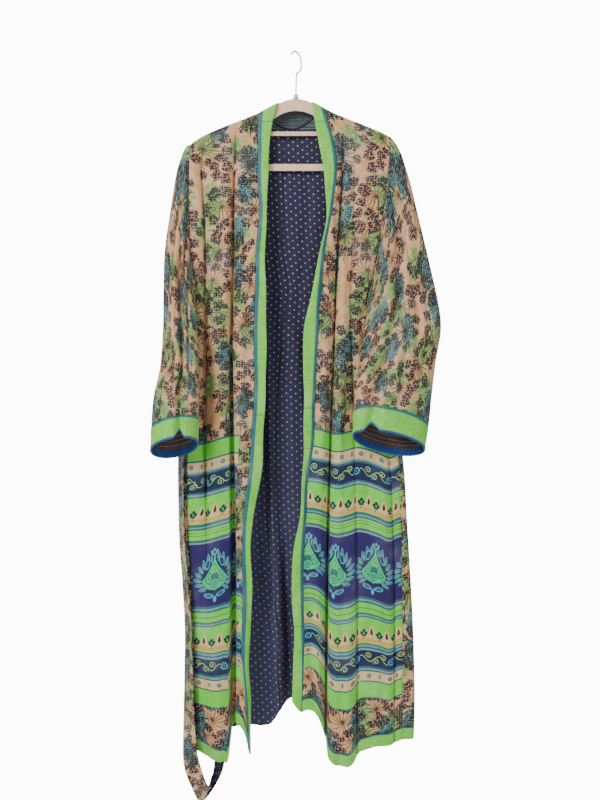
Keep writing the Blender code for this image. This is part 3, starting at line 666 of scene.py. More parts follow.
# Sleeves: rings from below the shoulder to the cuff edge. Reach and drop of the outer and the inner edge,
# their y, half depth, how far the front is lifted and where the long crease runs
sleeveColumns = "outer outerDrop inner innerDrop outerY innerY half tilt crease"
sleeves = {
    "right": {
        "hump": 6.5,
        "rings": table(
            sleeveColumns,
            (234, 211, 211, 491, 0, 0, 12, 0, 0.30), (246, 252, 208, 500, 0, -7, 15, 0, 0.34),
            (257, 324, 206, 516, -3, -16, 18, 1, 0.40), (268, 406, 202, 547, -8, -28, 21, 2, 0.46),
            (270, 488, 199, 590, -16, -38, 24, 4, 0.52), (270, 570, 196, 636, -26, -45, 27, 6, 0.56),
            (275, 648, 195, 681, -35, -50, 29, 9, 0.60), (287, 709, 195, 715, -43, -53, 31, 11, 0.62),
            (291, 768, 195, 751, -49, -56, 32, 14, 0.63), (292, 815, 197, 798, -52, -57, 33, 20, 0.63),
        ),
        # trough (positive) or ridge lines as (ring, share) to (ring, share), half width in shares and height;
        # shares run 0 outer edge, 1 inner edge on the front and on to 2 across the back
        "creases": (
            (-0.8, 0.50, 3, 0.68, 0.045, 8.5), (0, 0.36, 5, 0.34, 0.05, -3.0), (1, 0.72, 7, 0.78, 0.035, 5.0),
            (1, 0.12, 8, 0.18, 0.04, 4.0), (0.5, 0.20, 4, 0.28, 0.04, 4.5), (4, 0.52, 8, 0.56, 0.03, 4.0),
            (4, 0.80, 8, 0.84, 0.04, 2.5), (3, 0.36, 7, 0.34, 0.03, 3.0),
            (0, 1.30, 5, 1.35, 0.04, 3.5), (1, 1.60, 7, 1.55, 0.05, 3.0), (3, 1.80, 8, 1.78, 0.04, -2.5),
        ),
    },
    "left": {
        "hump": 3.5,
        "rings": table(
            sleeveColumns,
            (217, 211, 148, 518, 0, 0, 12, 0, 0.22), (234, 266, 147, 528, 0, -7, 15, 0, 0.30),
            (250, 334, 145, 542, -3, -16, 18, 1, 0.40), (271, 426, 139, 570, -9, -28, 21, 2, 0.50),
            (290, 516, 133, 612, -18, -38, 24, 5, 0.58), (294, 572, 127, 652, -28, -45, 27, 8, 0.63),
            (283, 635, 122, 689, -36, -50, 29, 12, 0.67), (274, 703, 118, 712, -44, -54, 31, 17, 0.70),
            (267, 765, 115, 736, -50, -57, 32, 22, 0.72), (259, 812, 115, 783, -53, -58, 33, 22, 0.75),
        ),
        "creases": (
            (-0.9, 0.26, 3, 0.38, 0.045, 7.5), (0, 0.55, 5, 0.60, 0.05, -3.5), (1, 0.20, 6, 0.32, 0.035, 5.5),
            (2, 0.08, 8, 0.20, 0.04, 4.0), (1, 0.72, 5, 0.78, 0.035, 5.0), (3, 0.40, 7, 0.44, 0.03, 4.0),
            (4, 0.86, 8, 0.90, 0.035, 2.5), (4, 0.46, 8, 0.52, 0.04, -2.0),
            (0, 1.35, 5, 1.32, 0.04, 3.5), (1, 1.62, 7, 1.58, 0.05, 3.0), (3, 1.82, 8, 1.80, 0.04, -2.5),
        ),
    },
}
cuffRing = 8
creaseWidth = 0.13
creaseDepth = 13.0
apexLift = 14.0


def sleeveGrid(half, ringPlaces, count):
    # Rings round the sleeve: place -1 is the armhole seam, 0 to 9 the table's rings. Round each ring the
    # share runs from the outer edge (0) across the front to the inner edge (1) and back behind (2).
    sign = -1 if half == "right" else 1
    data = sleeves[half]["rings"]
    turn = np.arange(count) / count
    angle = 2 * np.pi * turn
    share = (1 - np.cos(angle)) / 2
    width, side = np.abs(np.sin(angle)), -np.sign(np.sin(angle))
    top = 150.0
    for _ in range(6):
        top = float(ridge(read(edges[half], "seam", top)))
    drop = top + share * (underarm[half] - top)
    reach = read(edges[half], "seam", drop)
    room = halfDepth(sign * reach, drop) * shoulderRound(drop - top) * (width > 1e-6)
    # Behind the arm the ring laps a little over the back, so that no gap shows along the armhole
    over = 2.2 * (side > 0) * ease(drop, 200, 260)
    y = read(depth, "lean", drop) + side * (room + 0.4 * over)
    armhole = np.stack([sign * (reach + 0.3 - over), y, -drop], axis=-1)
    places = np.clip(ringPlaces, 0, 9)[:, None]
    row = {name: smooth(places, np.arange(10.0), values) for name, values in data.items()}
    x = row["outer"] + share * (row["inner"] - row["outer"])
    drop = row["outerDrop"] + share * (row["innerDrop"] - row["outerDrop"])
    y = row["outerY"] + share * (row["innerY"] - row["outerY"]) + side * row["half"] * width ** 0.9
    off = np.abs(share - row["crease"]) / creaseWidth
    y = y + creaseDepth * (1 - ease(off, 0, 1)) * (side < 0) * np.clip(places / 3, 0, 1)
    drop = drop + side * row["tilt"] * width
    body = np.stack([sign * x, y, -drop], axis=-1)
    grid = armhole[None] + (body - armhole[None]) * np.clip(ringPlaces + 1, 0, 1)[:, None, None]
    grid = np.where(ringPlaces[:, None, None] >= 0, body, grid)
    # The shoulder rounds over between the seam and the first ring: a parabola, highest at the outer edge
    part = np.clip(ringPlaces + 1, 0, 1)
    hump = sleeves[half]["hump"] * (4 * part * (1 - part))[:, None] * (1 - ease(share, 0, 0.4))[None]
    grid[..., 2] += hump
    # Creases and waves lift or sink the cloth along its normal
    normal = gridNormals(grid, True)
    normal *= np.sign((normal * (grid - grid.mean(axis=1, keepdims=True))).sum())
    places = ringPlaces[:, None]
    along = share[None] * (side[None] <= 0) + (2 - share[None]) * (side[None] > 0)
    sink = 0
    for r0, s0, r1, s1, wide, height in sleeves[half]["creases"]:
        t = (places - r0) / (r1 - r0)
        middle = s0 + (s1 - s0) * t + 0.02 * np.sin(5 * t)
        sink = sink + height * np.exp(-((along - middle) / wide) ** 2) * ease(t, 0, 0.25) * ease(1 - t, 0, 0.3)
    flatEdge = ease(width, 0.15, 0.6)[None]
    slow = 1.3 * np.sin(2.3 * places + 7 * along) + 0.9 * np.sin(4.1 * places - 13 * along + 1)
    sink = sink + slow * ease(places, 0, 2)
    grid = grid - (sink * flatEdge * ease(places, -1, 0.6) * ease(9.4 - places, 0, 1.2))[..., None] * normal
    return grid, normal, share, side


def ringFlat(grid):
    # Cut cloth's place: distance round the ring, and length down the sleeve
    step = np.linalg.norm(np.roll(grid, -1, axis=1) - grid, axis=2)
    mean = step.mean(axis=0)
    girth = np.concatenate([[0], np.cumsum(mean)[:-1]])
    length = np.linalg.norm(np.diff(grid, axis=0), axis=2).mean(axis=1)
    down = np.concatenate([[0], np.cumsum(length)])
    return np.stack(np.broadcast_arrays(girth[None], down[:, None]), axis=-1)


def makeSleeve(half, looks):
    # Sleeve, cuff, cuff lining and the binding at the cuff's edge, all from the same rings
    outward = lambda g: g - g.mean(axis=1, keepdims=True)
    places = np.concatenate([np.linspace(-1, 0, 13)[:-1], np.linspace(0, cuffRing, 131)])
    grid, normal, share, side = sleeveGrid(half, places, sleeveTurns)
    dip = 0.9 * np.exp(-((places + 1) / 0.16) ** 2) + 0.8 * np.exp(-((cuffRing - places) / 0.05) ** 2)
    grid = grid - dip[:, None, None] * normal
    sleeve = shell("sleeve_cloth_" + half, grid, ringFlat(grid), clothThick, (looks["floral"], looks["dotted"]),
                   closed=True, outward=outward)
    sewn("sleeve_" + half)

    crease = sleeves[half]["rings"]["crease"][-1]
    lift = (1 - ease(np.abs(share - crease) / creaseWidth, 0, 1)) * (side < 0)
    places = np.linspace(cuffRing, 9, 21)
    grid, normal, share, side = sleeveGrid(half, places, sleeveTurns)
    down = (places - cuffRing)[:, None]
    grid[..., 2] += apexLift * lift * down
    dip = 0.8 * np.exp(-(down / 0.05) ** 2) - 0.7 * np.exp(-((down - 0.9) / 0.1) ** 2)
    step = np.arange(sleeveTurns)
    puckers = 0.4 * np.sin(step * 0.9 + 2 * np.sin(step * 0.31)) * np.exp(-((down - 0.25) / 0.3) ** 2)
    grid = grid - (dip + puckers)[..., None] * normal
    cuff = shell("cuff_cloth_" + half, grid, ringFlat(grid), clothThick + 0.3, (looks["cuff"], looks["cuff"]),
                 closed=True, outward=outward)

    places = np.linspace(cuffRing - 1, 8.99, 41)
    inner, normal, share, side = sleeveGrid(half, places, sleeveTurns)
    inner[..., 2] += apexLift * lift * np.clip(places - cuffRing, 0, 1)[:, None]
    inner = inner - 2.0 * normal
    # Lengths run up from the cuff's edge, so that the facing there keeps its width
    flat = ringFlat(inner)
    flat[..., 1] -= flat[-1, 0, 1]
    lining = shell("cuff_lining_cloth_" + half, inner, flat, liningThick, (looks["cuffLining"], looks["cuffLining"]),
                   closed=True, outward=outward)
    sewn("cuff_lining_" + half)

    # Binding: an oval tube round the cuff's edge, longer down the sleeve than across the cloth
    edge, out = grid[-1], normal[-1]
    step = grid[-1] - grid[-4]
    step = step / np.linalg.norm(step, axis=1, keepdims=True)
    turn = np.linspace(0, 2 * np.pi, 11)[:-1, None, None]
    ring = edge + 1.5 * step + 2.6 * np.cos(turn) * step + 1.7 * np.sin(turn) * out
    binding = tube("cuff_binding_cloth_" + half, np.swapaxes(ring, 0, 1), looks["binding"])
    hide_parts("cuff_binding_" + half)
    sewn("cuff_" + half)


def tube(name, rings, look, closed=True):
    # Rings of points (step, turn, 3) joined into a closed tube; flat place: length along and distance round
    steps, turns = rings.shape[:2]
    number = np.arange(steps * turns).reshape(steps, turns)
    number = np.hstack([number, number[:, :1]])
    length = np.linalg.norm(np.roll(rings, -1, axis=0) - rings, axis=2).mean(axis=1)
    down = np.concatenate([[0], np.cumsum(length)])[:steps + 1]
    girth = np.linspace(0, np.linalg.norm(np.roll(rings, -1, axis=1) - rings, axis=2).sum(axis=1).mean(), turns + 1)
    if closed:
        number = np.vstack([number, number[:1]])
    else:
        down = down[:steps]
    spot = np.stack(np.broadcast_arrays(girth[None], down[:, None]), axis=-1)
    faces = cellCorners(number).reshape(-1, 4)
    places = cellCorners(spot).reshape(-1, 2)
    middle = rings.mean(axis=1, keepdims=True)
    first = np.cross(rings[1, 0] - rings[0, 0], rings[0, 1] - rings[0, 0])
    if (first * (rings[0, 0] - middle[0, 0])).sum() < 0:
        faces = faces[:, ::-1]
        places = places.reshape(-1, 4, 2)[:, ::-1].reshape(-1, 2)
    return build(name, rings.reshape(-1, 3) * mm, faces, (look,), places * mm)


# Belt: its two edges, down the side, round the bight and up behind the back
belt = {
    "route": table(
        "frontX frontY frontDrop backX backY backDrop",
        (-230, -11, 680, -243, 24, 680), (-232, -11, 730, -245, 24, 730), (-235, -11, 780, -248, 24, 780),
        (-236, -12, 870, -250, 23, 870), (-233, -14, 1000, -247, 20, 1000), (-224, -17, 1100, -239, 17, 1100),
        (-214, -20, 1200, -231, 13, 1200), (-210, -23, 1290, -230, 9, 1290), (-206, -27, 1370, -231, 1, 1370),
        (-200, -31, 1430, -231, -9, 1440), (-190, -33, 1466, -226, -17, 1469), (-182, -28, 1490, -213, -15, 1504),
        (-175, -12, 1506, -198, -8, 1535), (-176, 14, 1497, -184, 2, 1531), (-172, 31, 1485, -164, 10, 1503),
        (-170, 42, 1466, -152, 14, 1478), (-174, 46, 1440, -146, 28, 1446), (-184, 43, 1390, -146, 43, 1400),
        (-192, 40, 1300, -154, 44, 1300), (-202, 37, 1150, -164, 43, 1150), (-208, 35, 1000, -171, 41, 1000),
        (-213, 34, 860, -176, 41, 860), (-211, 34, 760, -174, 41, 760), (-209, 33, 680, -172, 40, 680),
    ),
    "thick": 1.3,
    "rows": 277,
    "columns": 17,
    "downRows": 120,
    "closer": (6.0, -3.0, 0.0),
    "turned": 12.6,
    "loopDrop": 720.0,
    "loop": ((-205, -13), (-224, -14.5), (-235, -13), (-243, 0), (-249, 24), (-240, 31), (-215, 37), (-188, 42),
             (-165, 42), (-160, 36)),
}


def makeBelt(looks):
    # Two edge lines carried smoothly through the table, with a crowned width and small tugs along it
    route = belt["route"]
    knots = np.arange(float(len(route["frontX"])))
    at = np.linspace(0, knots[-1], belt["rows"])
    edge = [np.stack([smooth(at, knots, route[end + "X"]), smooth(at, knots, route[end + "Y"]),
                      -smooth(at, knots, route[end + "Drop"])], axis=-1) for end in ("front", "back")]
    t = np.linspace(0, 1, belt["columns"])[None, :, None]
    grid = edge[0][:, None] + t * (edge[1] - edge[0])[:, None]
    near = (ease(-grid[..., 2], 640, 760) * ease(grid[..., 2], -1300, -1050)) * (at[:, None] < 9)
    grid += near[..., None] * belt["closer"]
    normal = gridNormals(grid, False)
    t, a = t[..., 0], at[:, None]
    bow = 0.8 * arch(t) + 0.5 * np.sin(2.1 * a + 5 * t) + 0.35 * np.sin(4.7 * a - 8 * t + 1)
    grid = grid + (bow * arch(t) ** 0.5)[..., None] * normal
    length = np.concatenate([[0], np.cumsum(np.linalg.norm(np.diff(grid[:, 8], axis=0), axis=1))])
    flat = np.stack(np.broadcast_arrays(37 * t, length[:, None]), axis=-1)
    # Down the side the printed face looks away from the robe
    outward = np.zeros(grid.shape)
    outward[:belt["downRows"], :, 0] = -1.0
    cloth = shell("belt_cloth", grid, flat, belt["thick"], (looks["floral"], looks["dotted"]),
                  outward=lambda g: outward)
    # Past the bight the belt shows its lined side
    slots = np.empty(len(cloth.data.polygons), np.int32)
    cloth.data.polygons.foreach_get("material_index", slots)
    perRow = belt["columns"] - 1
    side = (len(at) - 1) * perRow
    row = np.arange(side) // perRow
    over = np.tile(at[row] > belt["turned"], 2)
    slots[:2 * side] = np.where(over, 1 - slots[:2 * side], slots[:2 * side])
    cloth.data.polygons.foreach_set("material_index", slots)
    sewn("belt")

    points = np.array(belt["loop"], float)
    knots = np.arange(float(len(points)))
    at = np.linspace(0, knots[-1], 91)
    x, y = smooth(at, knots, points[:, 0]), smooth(at, knots, points[:, 1])
    width = np.linspace(-6, 6, 9)[:, None]
    grid = np.stack(np.broadcast_arrays(x[None], y[None], -belt["loopDrop"] - width), axis=-1)
    length = np.concatenate([[0], np.cumsum(np.hypot(np.diff(x), np.diff(y)))])
    flat = np.stack(np.broadcast_arrays(width + 6, length[None]), axis=-1)
    loop = shell("belt_carrier", grid, flat, 1.1, (looks["floral"], looks["floral"]),
                 outward=lambda g: np.array([-1.0, 0.0, 0.0]))
    sewn("belt_loop")


# Hanger: flat flocked frame with two openings, a small collar and a round wire hook turned out of its plane
hanger = {"thick": 3.6, "half": 197.0, "gap": 2.0, "bevel": 1.5, "wire": 1.7, "hookInner": 20.0, "hookTurn": 60.0}


def makeHanger(looks):
    # Frame from flat outlines with a rounded edge, collar from turned rings, hook as a tube along its line
    reach = np.array((0, 12, 24, 35, 50, 60, 72, 88, 105, 140, 165, 183.0))
    top = ridge(reach) + hanger["gap"] + np.where(abs(reach - 62) < 15, 1.2, 0)
    side = list(zip(reach, top)) + [(191, 177), (196, 184), (hanger["half"], 193), (194, 209), (186, 226),
                                    (176, 238), (162, 243.5)]
    outer = side + [(-x, drop) for x, drop in reversed(side)][:-1]
    upper = [(0, 120), (16, 122), (30, 127), (45, 136), (103, 162.5), (-103, 162.5), (-45, 136), (-30, 127), (-16, 122)]
    lower = [(128, 171.5), (160, 185), (177, 194), (181, 203), (176, 217), (164, 229), (-164, 229), (-176, 217),
             (-181, 203), (-177, 194), (-160, 185), (-128, 171.5)]
    data = bpy.data.curves.new("hanger_flat", "CURVE")
    data.dimensions, data.fill_mode = "2D", "BOTH"
    data.bevel_depth = hanger["bevel"] * mm
    data.bevel_resolution = 3
    data.extrude = (hanger["thick"] / 2 - hanger["bevel"]) * mm
    data.offset = -hanger["bevel"] * mm
    for line in (outer, upper, lower):
        spline = data.splines.new("POLY")
        spline.points.add(len(line) - 1)
        spline.points.foreach_set("co", np.array([(x, -drop, 0, 1 / mm) for x, drop in line]).ravel() * mm)
        spline.use_cyclic_u = True
    curve = bpy.data.objects.new("hanger_flat", data)
    bpy.context.scene.collection.objects.link(curve)
    mesh = bpy.data.meshes.new_from_object(curve.evaluated_get(bpy.context.evaluated_depsgraph_get()))
    bpy.data.objects.remove(curve)
    points = np.empty(len(mesh.vertices) * 3)
    mesh.vertices.foreach_get("co", points)
    points = points.reshape(-1, 3)
    mesh.vertices.foreach_set("co", np.stack([points[:, 0], -points[:, 2], points[:, 1]], axis=-1).ravel())
    mesh.name = "hanger_body"
    mesh.materials.clear()
    mesh.materials.append(looks["velvet"])
    body = bpy.data.objects.new("hanger_body", mesh)
    bpy.context.scene.collection.objects.link(body)
    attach(body, "root")
    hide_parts("hanger_frame")

    neckTop = float(ridge(0.0)) + hanger["gap"] - 0.3
    turn = np.linspace(0, 2 * np.pi, 33)[:-1]
    profile = ((6.3, 0.4), (6.2, -0.4), (5.4, -1.6), (4.9, -4.0), (4.6, -6.6), (4.0, -7.8), (2.6, -8.2), (0.01, -8.3))
    rings = np.array([[(r * math.cos(a), 0.62 * r * math.sin(a), -(neckTop + d)) for a in turn] for r, d in profile])
    collar = tube("hanger_neck", np.concatenate([rings[:1] * (0.01, 0.01, 1), rings]), looks["velvet"], closed=False)
    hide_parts("hanger_collar")

    radius = hanger["hookInner"] + hanger["wire"]
    angles = np.radians(np.linspace(-78, 150, 20))
    arc = [(radius * math.cos(a), hanger["hookInner"] - radius * math.sin(a)) for a in angles]
    route = np.array([(0, neckTop - 6), (0, neckTop - 20.3), (1.2, 58), (0.8, 50)] + arc)
    knots = np.arange(float(len(route)))
    at = np.linspace(0, knots[-1], 150)
    sideways, drop = smooth(at, knots, route[:, 0]), smooth(at, knots, route[:, 1])
    turnOut = math.radians(hanger["hookTurn"])
    line = np.stack([sideways * math.cos(turnOut), sideways * math.sin(turnOut), -drop], axis=-1)
    tangent = np.gradient(line, axis=0)
    tangent /= np.linalg.norm(tangent, axis=1, keepdims=True)
    flatWay = np.array([-math.sin(turnOut), math.cos(turnOut), 0.0])
    second = np.cross(tangent, flatWay)
    size = hanger["wire"] * np.sqrt(np.clip((at - at[0]) / 0.1, 0, 1) * np.clip((at[-1] - at) / 0.25, 0, 1)).clip(0.02)
    a = np.linspace(0, 2 * np.pi, 17)[:-1]
    rim = np.cos(a)[None, :, None] * flatWay + np.sin(a)[None, :, None] * second[:, None]
    rings = line[:, None] + size[:, None, None] * rim
    hook = tube("hanger_wire", rings, looks["chrome"], closed=False)
    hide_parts("hanger_hook")


class Wire:
    # One value running through a material's nodes; arithmetic on it adds the math nodes
    def __init__(self, tree, socket):
        self.tree, self.socket = tree, socket

    def node(self, kind, *values, **settings):
        node = self.tree.nodes.new(kind)
        for name, value in settings.items():
            setattr(node, name, value)
        for place, value in enumerate(values):
            put(self.tree, node.inputs[place], value)
        return node

    def math(self, kind, *values):
        return Wire(self.tree, self.node("ShaderNodeMath", self, *values, operation=kind).outputs[0])

    def __add__(self, other):
        return self.math("ADD", other)

    def __sub__(self, other):
        return self.math("SUBTRACT", other)

    def __mul__(self, other):
        return self.math("MULTIPLY", other)

    def __truediv__(self, other):
        return self.math("DIVIDE", other)

    def __rsub__(self, other):
        return (self * -1) + other

    def __neg__(self):
        return self * -1

    __radd__, __rmul__ = __add__, __mul__


def put(tree, socket, value):
    if isinstance(value, Wire):
        tree.links.new(value.socket, socket)
    elif value is not None:
        opaque = isinstance(value, tuple) and len(value) == 3 and socket.type == "RGBA"
        socket.default_value = (*value, 1) if opaque else value


def absolute(x):
    return x.math("ABSOLUTE")


def least(x, y):
    return x.math("MINIMUM", y)


def most(x, y):
    return x.math("MAXIMUM", y)


def root(x):
    return most(x, 0.0).math("SQRT")


def away(x, y):
    return root(x * x + y * y)


def turnOf(y, x):
    return y.math("ARCTAN2", x)


def repeat(x, period):
    # Distance from the middle of the nearest repeat, from -period/2 to period/2
    return (x / period + 0.5).math("FRACT") * period - period / 2


def cellNumber(x, period):
    return (x / period + 0.5).math("FLOOR")


def rise(x, low, high):
    node = x.node("ShaderNodeMapRange", x, low, high, 0.0, 1.0, interpolation_type="SMOOTHSTEP")
    return Wire(x.tree, node.outputs[0])


def below(x, limit, soft=0.5):
    # 1 where x is under the limit, with an edge as soft as a print's
    return 1 - rise(x, limit - soft, limit + soft)


def between(x, low, high, soft=0.5):
    return rise(x, low - soft, low + soft) * below(x, high, soft)


def blend(share, first, second):
    tree = share.tree
    node = tree.nodes.new("ShaderNodeMix")
    node.data_type = "RGBA"
    put(tree, node.inputs[0], share)
    put(tree, node.inputs[6], first)
    put(tree, node.inputs[7], second)
    return Wire(tree, node.outputs[2])


def vector(x, y):
    node = x.node("ShaderNodeCombineXYZ", x, y, 0.0)
    return Wire(x.tree, node.outputs[0])


def split(wire):
    node = wire.node("ShaderNodeSeparateXYZ", wire)
    return [Wire(wire.tree, out) for out in node.outputs]


def noise(place, scale, detail=2.0, rough=0.5):
    node = place.node("ShaderNodeTexNoise", place)
    node.inputs["Scale"].default_value = scale
    node.inputs["Detail"].default_value = detail
    node.inputs["Roughness"].default_value = rough
    return Wire(place.tree, node.outputs[0])


def cells(place, size, random=1.0):
    # Scattered cells: distance to the nearest seed, its random colour and the way to it from here
    node = place.node("ShaderNodeTexVoronoi", place, voronoi_dimensions="2D")
    node.inputs["Scale"].default_value = 1 / size
    node.inputs["Randomness"].default_value = random
    seed = Wire(place.tree, node.outputs["Position"])
    offset = place.node("ShaderNodeVectorMath", place, seed, operation="SUBTRACT").outputs[0]
    far = Wire(place.tree, node.outputs["Distance"]) * size
    return far, split(Wire(place.tree, node.outputs["Color"])), split(Wire(place.tree, offset))


def colour(red, green, blue, richer=1.3):
    # Screen colour to the linear one that the nodes use, made a little richer for the soft picture curve
    line = [c / 12.92 if c <= 0.04045 else ((c + 0.055) / 1.055) ** 2.4 for c in (red, green, blue)]
    grey = 0.25 * line[0] + 0.6 * line[1] + 0.15 * line[2]
    return tuple(max(0.004, grey + richer * (c - grey)) for c in line)


inks = {
    "tan": colour(0.85, 0.69, 0.54, 1.1), "apricot": colour(0.83, 0.64, 0.46, 1.1), "stem": colour(0.23, 0.12, 0.09),
    "berry": colour(0.10, 0.06, 0.11), "plum": colour(0.23, 0.13, 0.20), "lime": colour(0.52, 0.82, 0.42),
    "leaf": colour(0.64, 0.77, 0.46, 1.1), "moss": colour(0.47, 0.68, 0.38, 1.1), "leafDark": colour(0.16, 0.32, 0.18),
    "teal": colour(0.13, 0.34, 0.38, 1.1), "tealDark": colour(0.07, 0.16, 0.26, 1.1),
    "tealPale": colour(0.48, 0.62, 0.54, 1.1), "navy": colour(0.15, 0.11, 0.33),
    "navyDeep": colour(0.09, 0.13, 0.27), "line": colour(0.17, 0.41, 0.43, 1.1), "pale": colour(0.50, 0.61, 0.63),
    "mint": colour(0.36, 0.82, 0.58), "sky": colour(0.42, 0.66, 0.76), "peach": colour(0.87, 0.76, 0.57, 1.15),
    "sand": colour(0.84, 0.73, 0.47), "wine": colour(0.26, 0.04, 0.09), "clover": colour(0.03, 0.13, 0.19),
    "grey": colour(0.36, 0.47, 0.45, 1.1), "curl": colour(0.68, 0.82, 0.52), "dotCream": colour(0.71, 0.68, 0.74, 1.0),
    "lining": colour(0.15, 0.14, 0.20, 1.15), "royal": colour(0.08, 0.24, 0.46), "velvet": colour(0.99, 0.88, 0.77),
}


def floralPrint(u, v):
    # Umbels scattered in layers, every length in millimetres on the cut cloth: soft green heads and teal
    # clusters below, then brown rays that end in round clumps of dark berries, and loose clumps
    flat = vector(u, v)
    warp = noise(flat, 0.035, 1.0)
    place = vector(u + warp * 14 - 7, v + noise(flat, 0.03, 1.0) * 16 - 8)
    ragged = noise(place, 0.11, 2.0)
    fine = noise(place, 0.28, 2.0)
    tint = noise(place, 0.03, 1.0)
    berryFar, berryChance, _ = cells(flat, 5.0, 0.56)
    ink = blend(between(tint, 0.42, 0.56, 0.05), inks["tan"], inks["apricot"])

    # Green heads: ragged discs with strokes out from the middle and dark green seeds
    far, chance, offset = cells(vector(u + 31, v * 0.8 + 17), 56.0, 0.9)
    turn = turnOf(offset[1], offset[0])
    head = below(far, 5 + ragged * 34, 1.5) * rise(chance[1], 0.12, 0.16)
    strokes = absolute(repeat(turn + tint * 1.4, 0.262)) * far
    feather = blend(rise(ragged, 0.42, 0.6), inks["leaf"], inks["moss"])
    feather = blend(below(strokes, 0.7, 0.6) * rise(far, 2, 5) * 0.7, feather, inks["leafDark"])
    feather = blend(below(berryFar, 1.4, 0.4) * rise(fine, 0.52, 0.6) * 0.85, feather, inks["leafDark"])
    ink = blend(head * rise(fine, 0.30, 0.40) * 0.9, ink, feather)

    # Teal clusters: round berries with pale outlines, some of them dark
    far, chance, _ = cells(vector(u * 1.2 + 83, v * 0.72 + 59), 74.0, 0.95)
    cluster = below(far, 2 + ragged * 42, 1.5) * rise(chance[0], 0.32, 0.36)
    grain = blend(rise(tint, 0.44, 0.62), inks["teal"], inks["tealDark"])
    grain = blend(rise(berryFar, 1.6, 2.3) * (berryChance[1] * 0.7 + 0.3), grain, inks["tealPale"])
    ink = blend(cluster * rise(fine, 0.28, 0.36), ink, grain)

    # Rays and stalks, with clumps of berries round the umbel at uneven distances
    far, chance, offset = cells(place, 82.0, 0.75)
    x, y = offset[0], offset[1]
    turn = turnOf(y, x) + far * 0.006 + chance[0] * 6.0
    ray = below(absolute(repeat(turn, 0.4488)) * far, 0.75, 0.45) * below(far, 25 + chance[1] * 13, 2.0)
    stalk = below(absolute(x + y * 0.25 + (y * 0.06).math("SINE") * 3), 1.0, 0.5) * below(y, 0.0, 1.0)
    ink = blend(most(ray, stalk) * 0.95, ink, inks["stem"])
    reach = 24 + 18 * noise(vector(cellNumber(turn, 0.8976) * 1.7 + chance[1] * 40, 0.5), 1.0, 0.0)
    ring = away(repeat(turn, 0.8976) * far, far - reach) + fine * 7
    loose, looseChance, _ = cells(vector(u + 7, v + 91), 31.0, 0.95)
    clump = below(ring, 8 + ragged * 12, 1.0)
    clump = most(clump, below(loose + fine * 8, 5 + ragged * 20, 1.0) * rise(looseChance[0], 0.38, 0.42))
    ink = blend(clump * 0.4, ink, inks["plum"])
    dark = blend(rise(berryChance[1], 0.75, 0.95), inks["berry"], inks["plum"])
    return blend(below(berryFar, 2.35, 0.4) * clump, ink, dark)


def stripes(v, ink, rows):
    # Straight bands of the border as (from, to, ink), heights above the hem in millimetres
    for low, high, name in rows:
        ink = blend(between(v, low, high, 0.6), ink, inks[name])
    return ink


def flames(u, v, base, ink):
    # Peach flames on a ragged sand base with two zigzag lines and thin veins, each flame with a wine drop, and
    # dark clovers between them
    p = repeat(u, 32.0)
    up = v - base
    spike = most(1 - absolute(p) / 8.4, 0.0)
    edge = 15 + (u * 0.9).math("SINE") * 1.6 + (u * 2.3).math("SINE") * 0.8 + spike * (2 - spike) * 22
    ink = blend(below(up, edge, 0.6) * rise(up, -0.5, 0.5), ink, inks["peach"])
    ink = blend(below(up, 9 + (u * 1.3).math("SINE") * 1.5, 1.0) * rise(up, -0.5, 0.5), ink, inks["sand"])
    zigzag = absolute(repeat(u, 9.0)) * 1.3
    ink = blend(below(absolute(up - 3.5 - zigzag), 0.6, 0.4) * 0.55, ink, inks["wine"])
    ink = blend(below(absolute(up - 7.5 - zigzag), 0.7, 0.4) * 0.45, ink, inks["moss"])
    veins = below(absolute(repeat(up + absolute(repeat(u, 8.0)) * 1.1, 4.6)), 0.35, 0.25)
    veins = veins * below(up, 12, 1.0) * rise(up, 0, 1)
    ink = blend(veins * 0.55, ink, inks["wine"])
    tall = (up - 25) / 8.0
    drop = absolute(p) - root(1 - tall * tall) * (2.5 - tall * 1.5)
    ink = blend(below(drop, 0.0, 0.4), ink, inks["wine"])
    q = absolute(repeat(u + 16, 32.0))
    leafs = least(away(q, up - 25.5), least(away(q - 4.2, up - 20.5), away(q - 2.6, up - 15.5) + 0.8))
    stalk = most(q - 0.8, absolute(up - 12) - 5.0)
    return blend(most(below(leafs, 3.3, 0.4), below(stalk, 0.0, 0.4)), ink, inks["clover"])


def scrolls(u, v, middle, ink):
    # Pale green curls and dotted rosettes on navy
    up = v - middle
    p = repeat(u, 74.0)
    wave = absolute(up - (u * 0.1698).math("SINE") * 6.5)
    line = below(wave, 0.85, 0.4)
    for centre, height, size in ((-12.0, 6.0, 5.4), (3.0, -5.5, 5.6), (19.0, 6.5, 5.0)):
        far = away(p - centre, up - height)
        spiral = absolute(repeat(far - turnOf(up - height, p - centre) * 0.75, 4.71))
        line = most(line, below(spiral, 0.85, 0.4) * below(far, size + 1.6, 0.4))
    rosette = away(repeat(u + 37, 74.0), up)
    line = line * rise(rosette, 9.5, 10.5)
    ink = blend(line, ink, inks["curl"])
    turn = turnOf(up, repeat(u + 37, 74.0))
    petals = away(rosette - 6.3, repeat(turn, 0.6981) * 6.3)
    ink = blend(below(petals, 1.9, 0.4), ink, inks["sky"])
    return blend(below(rosette, 1.8, 0.4), ink, inks["mint"])


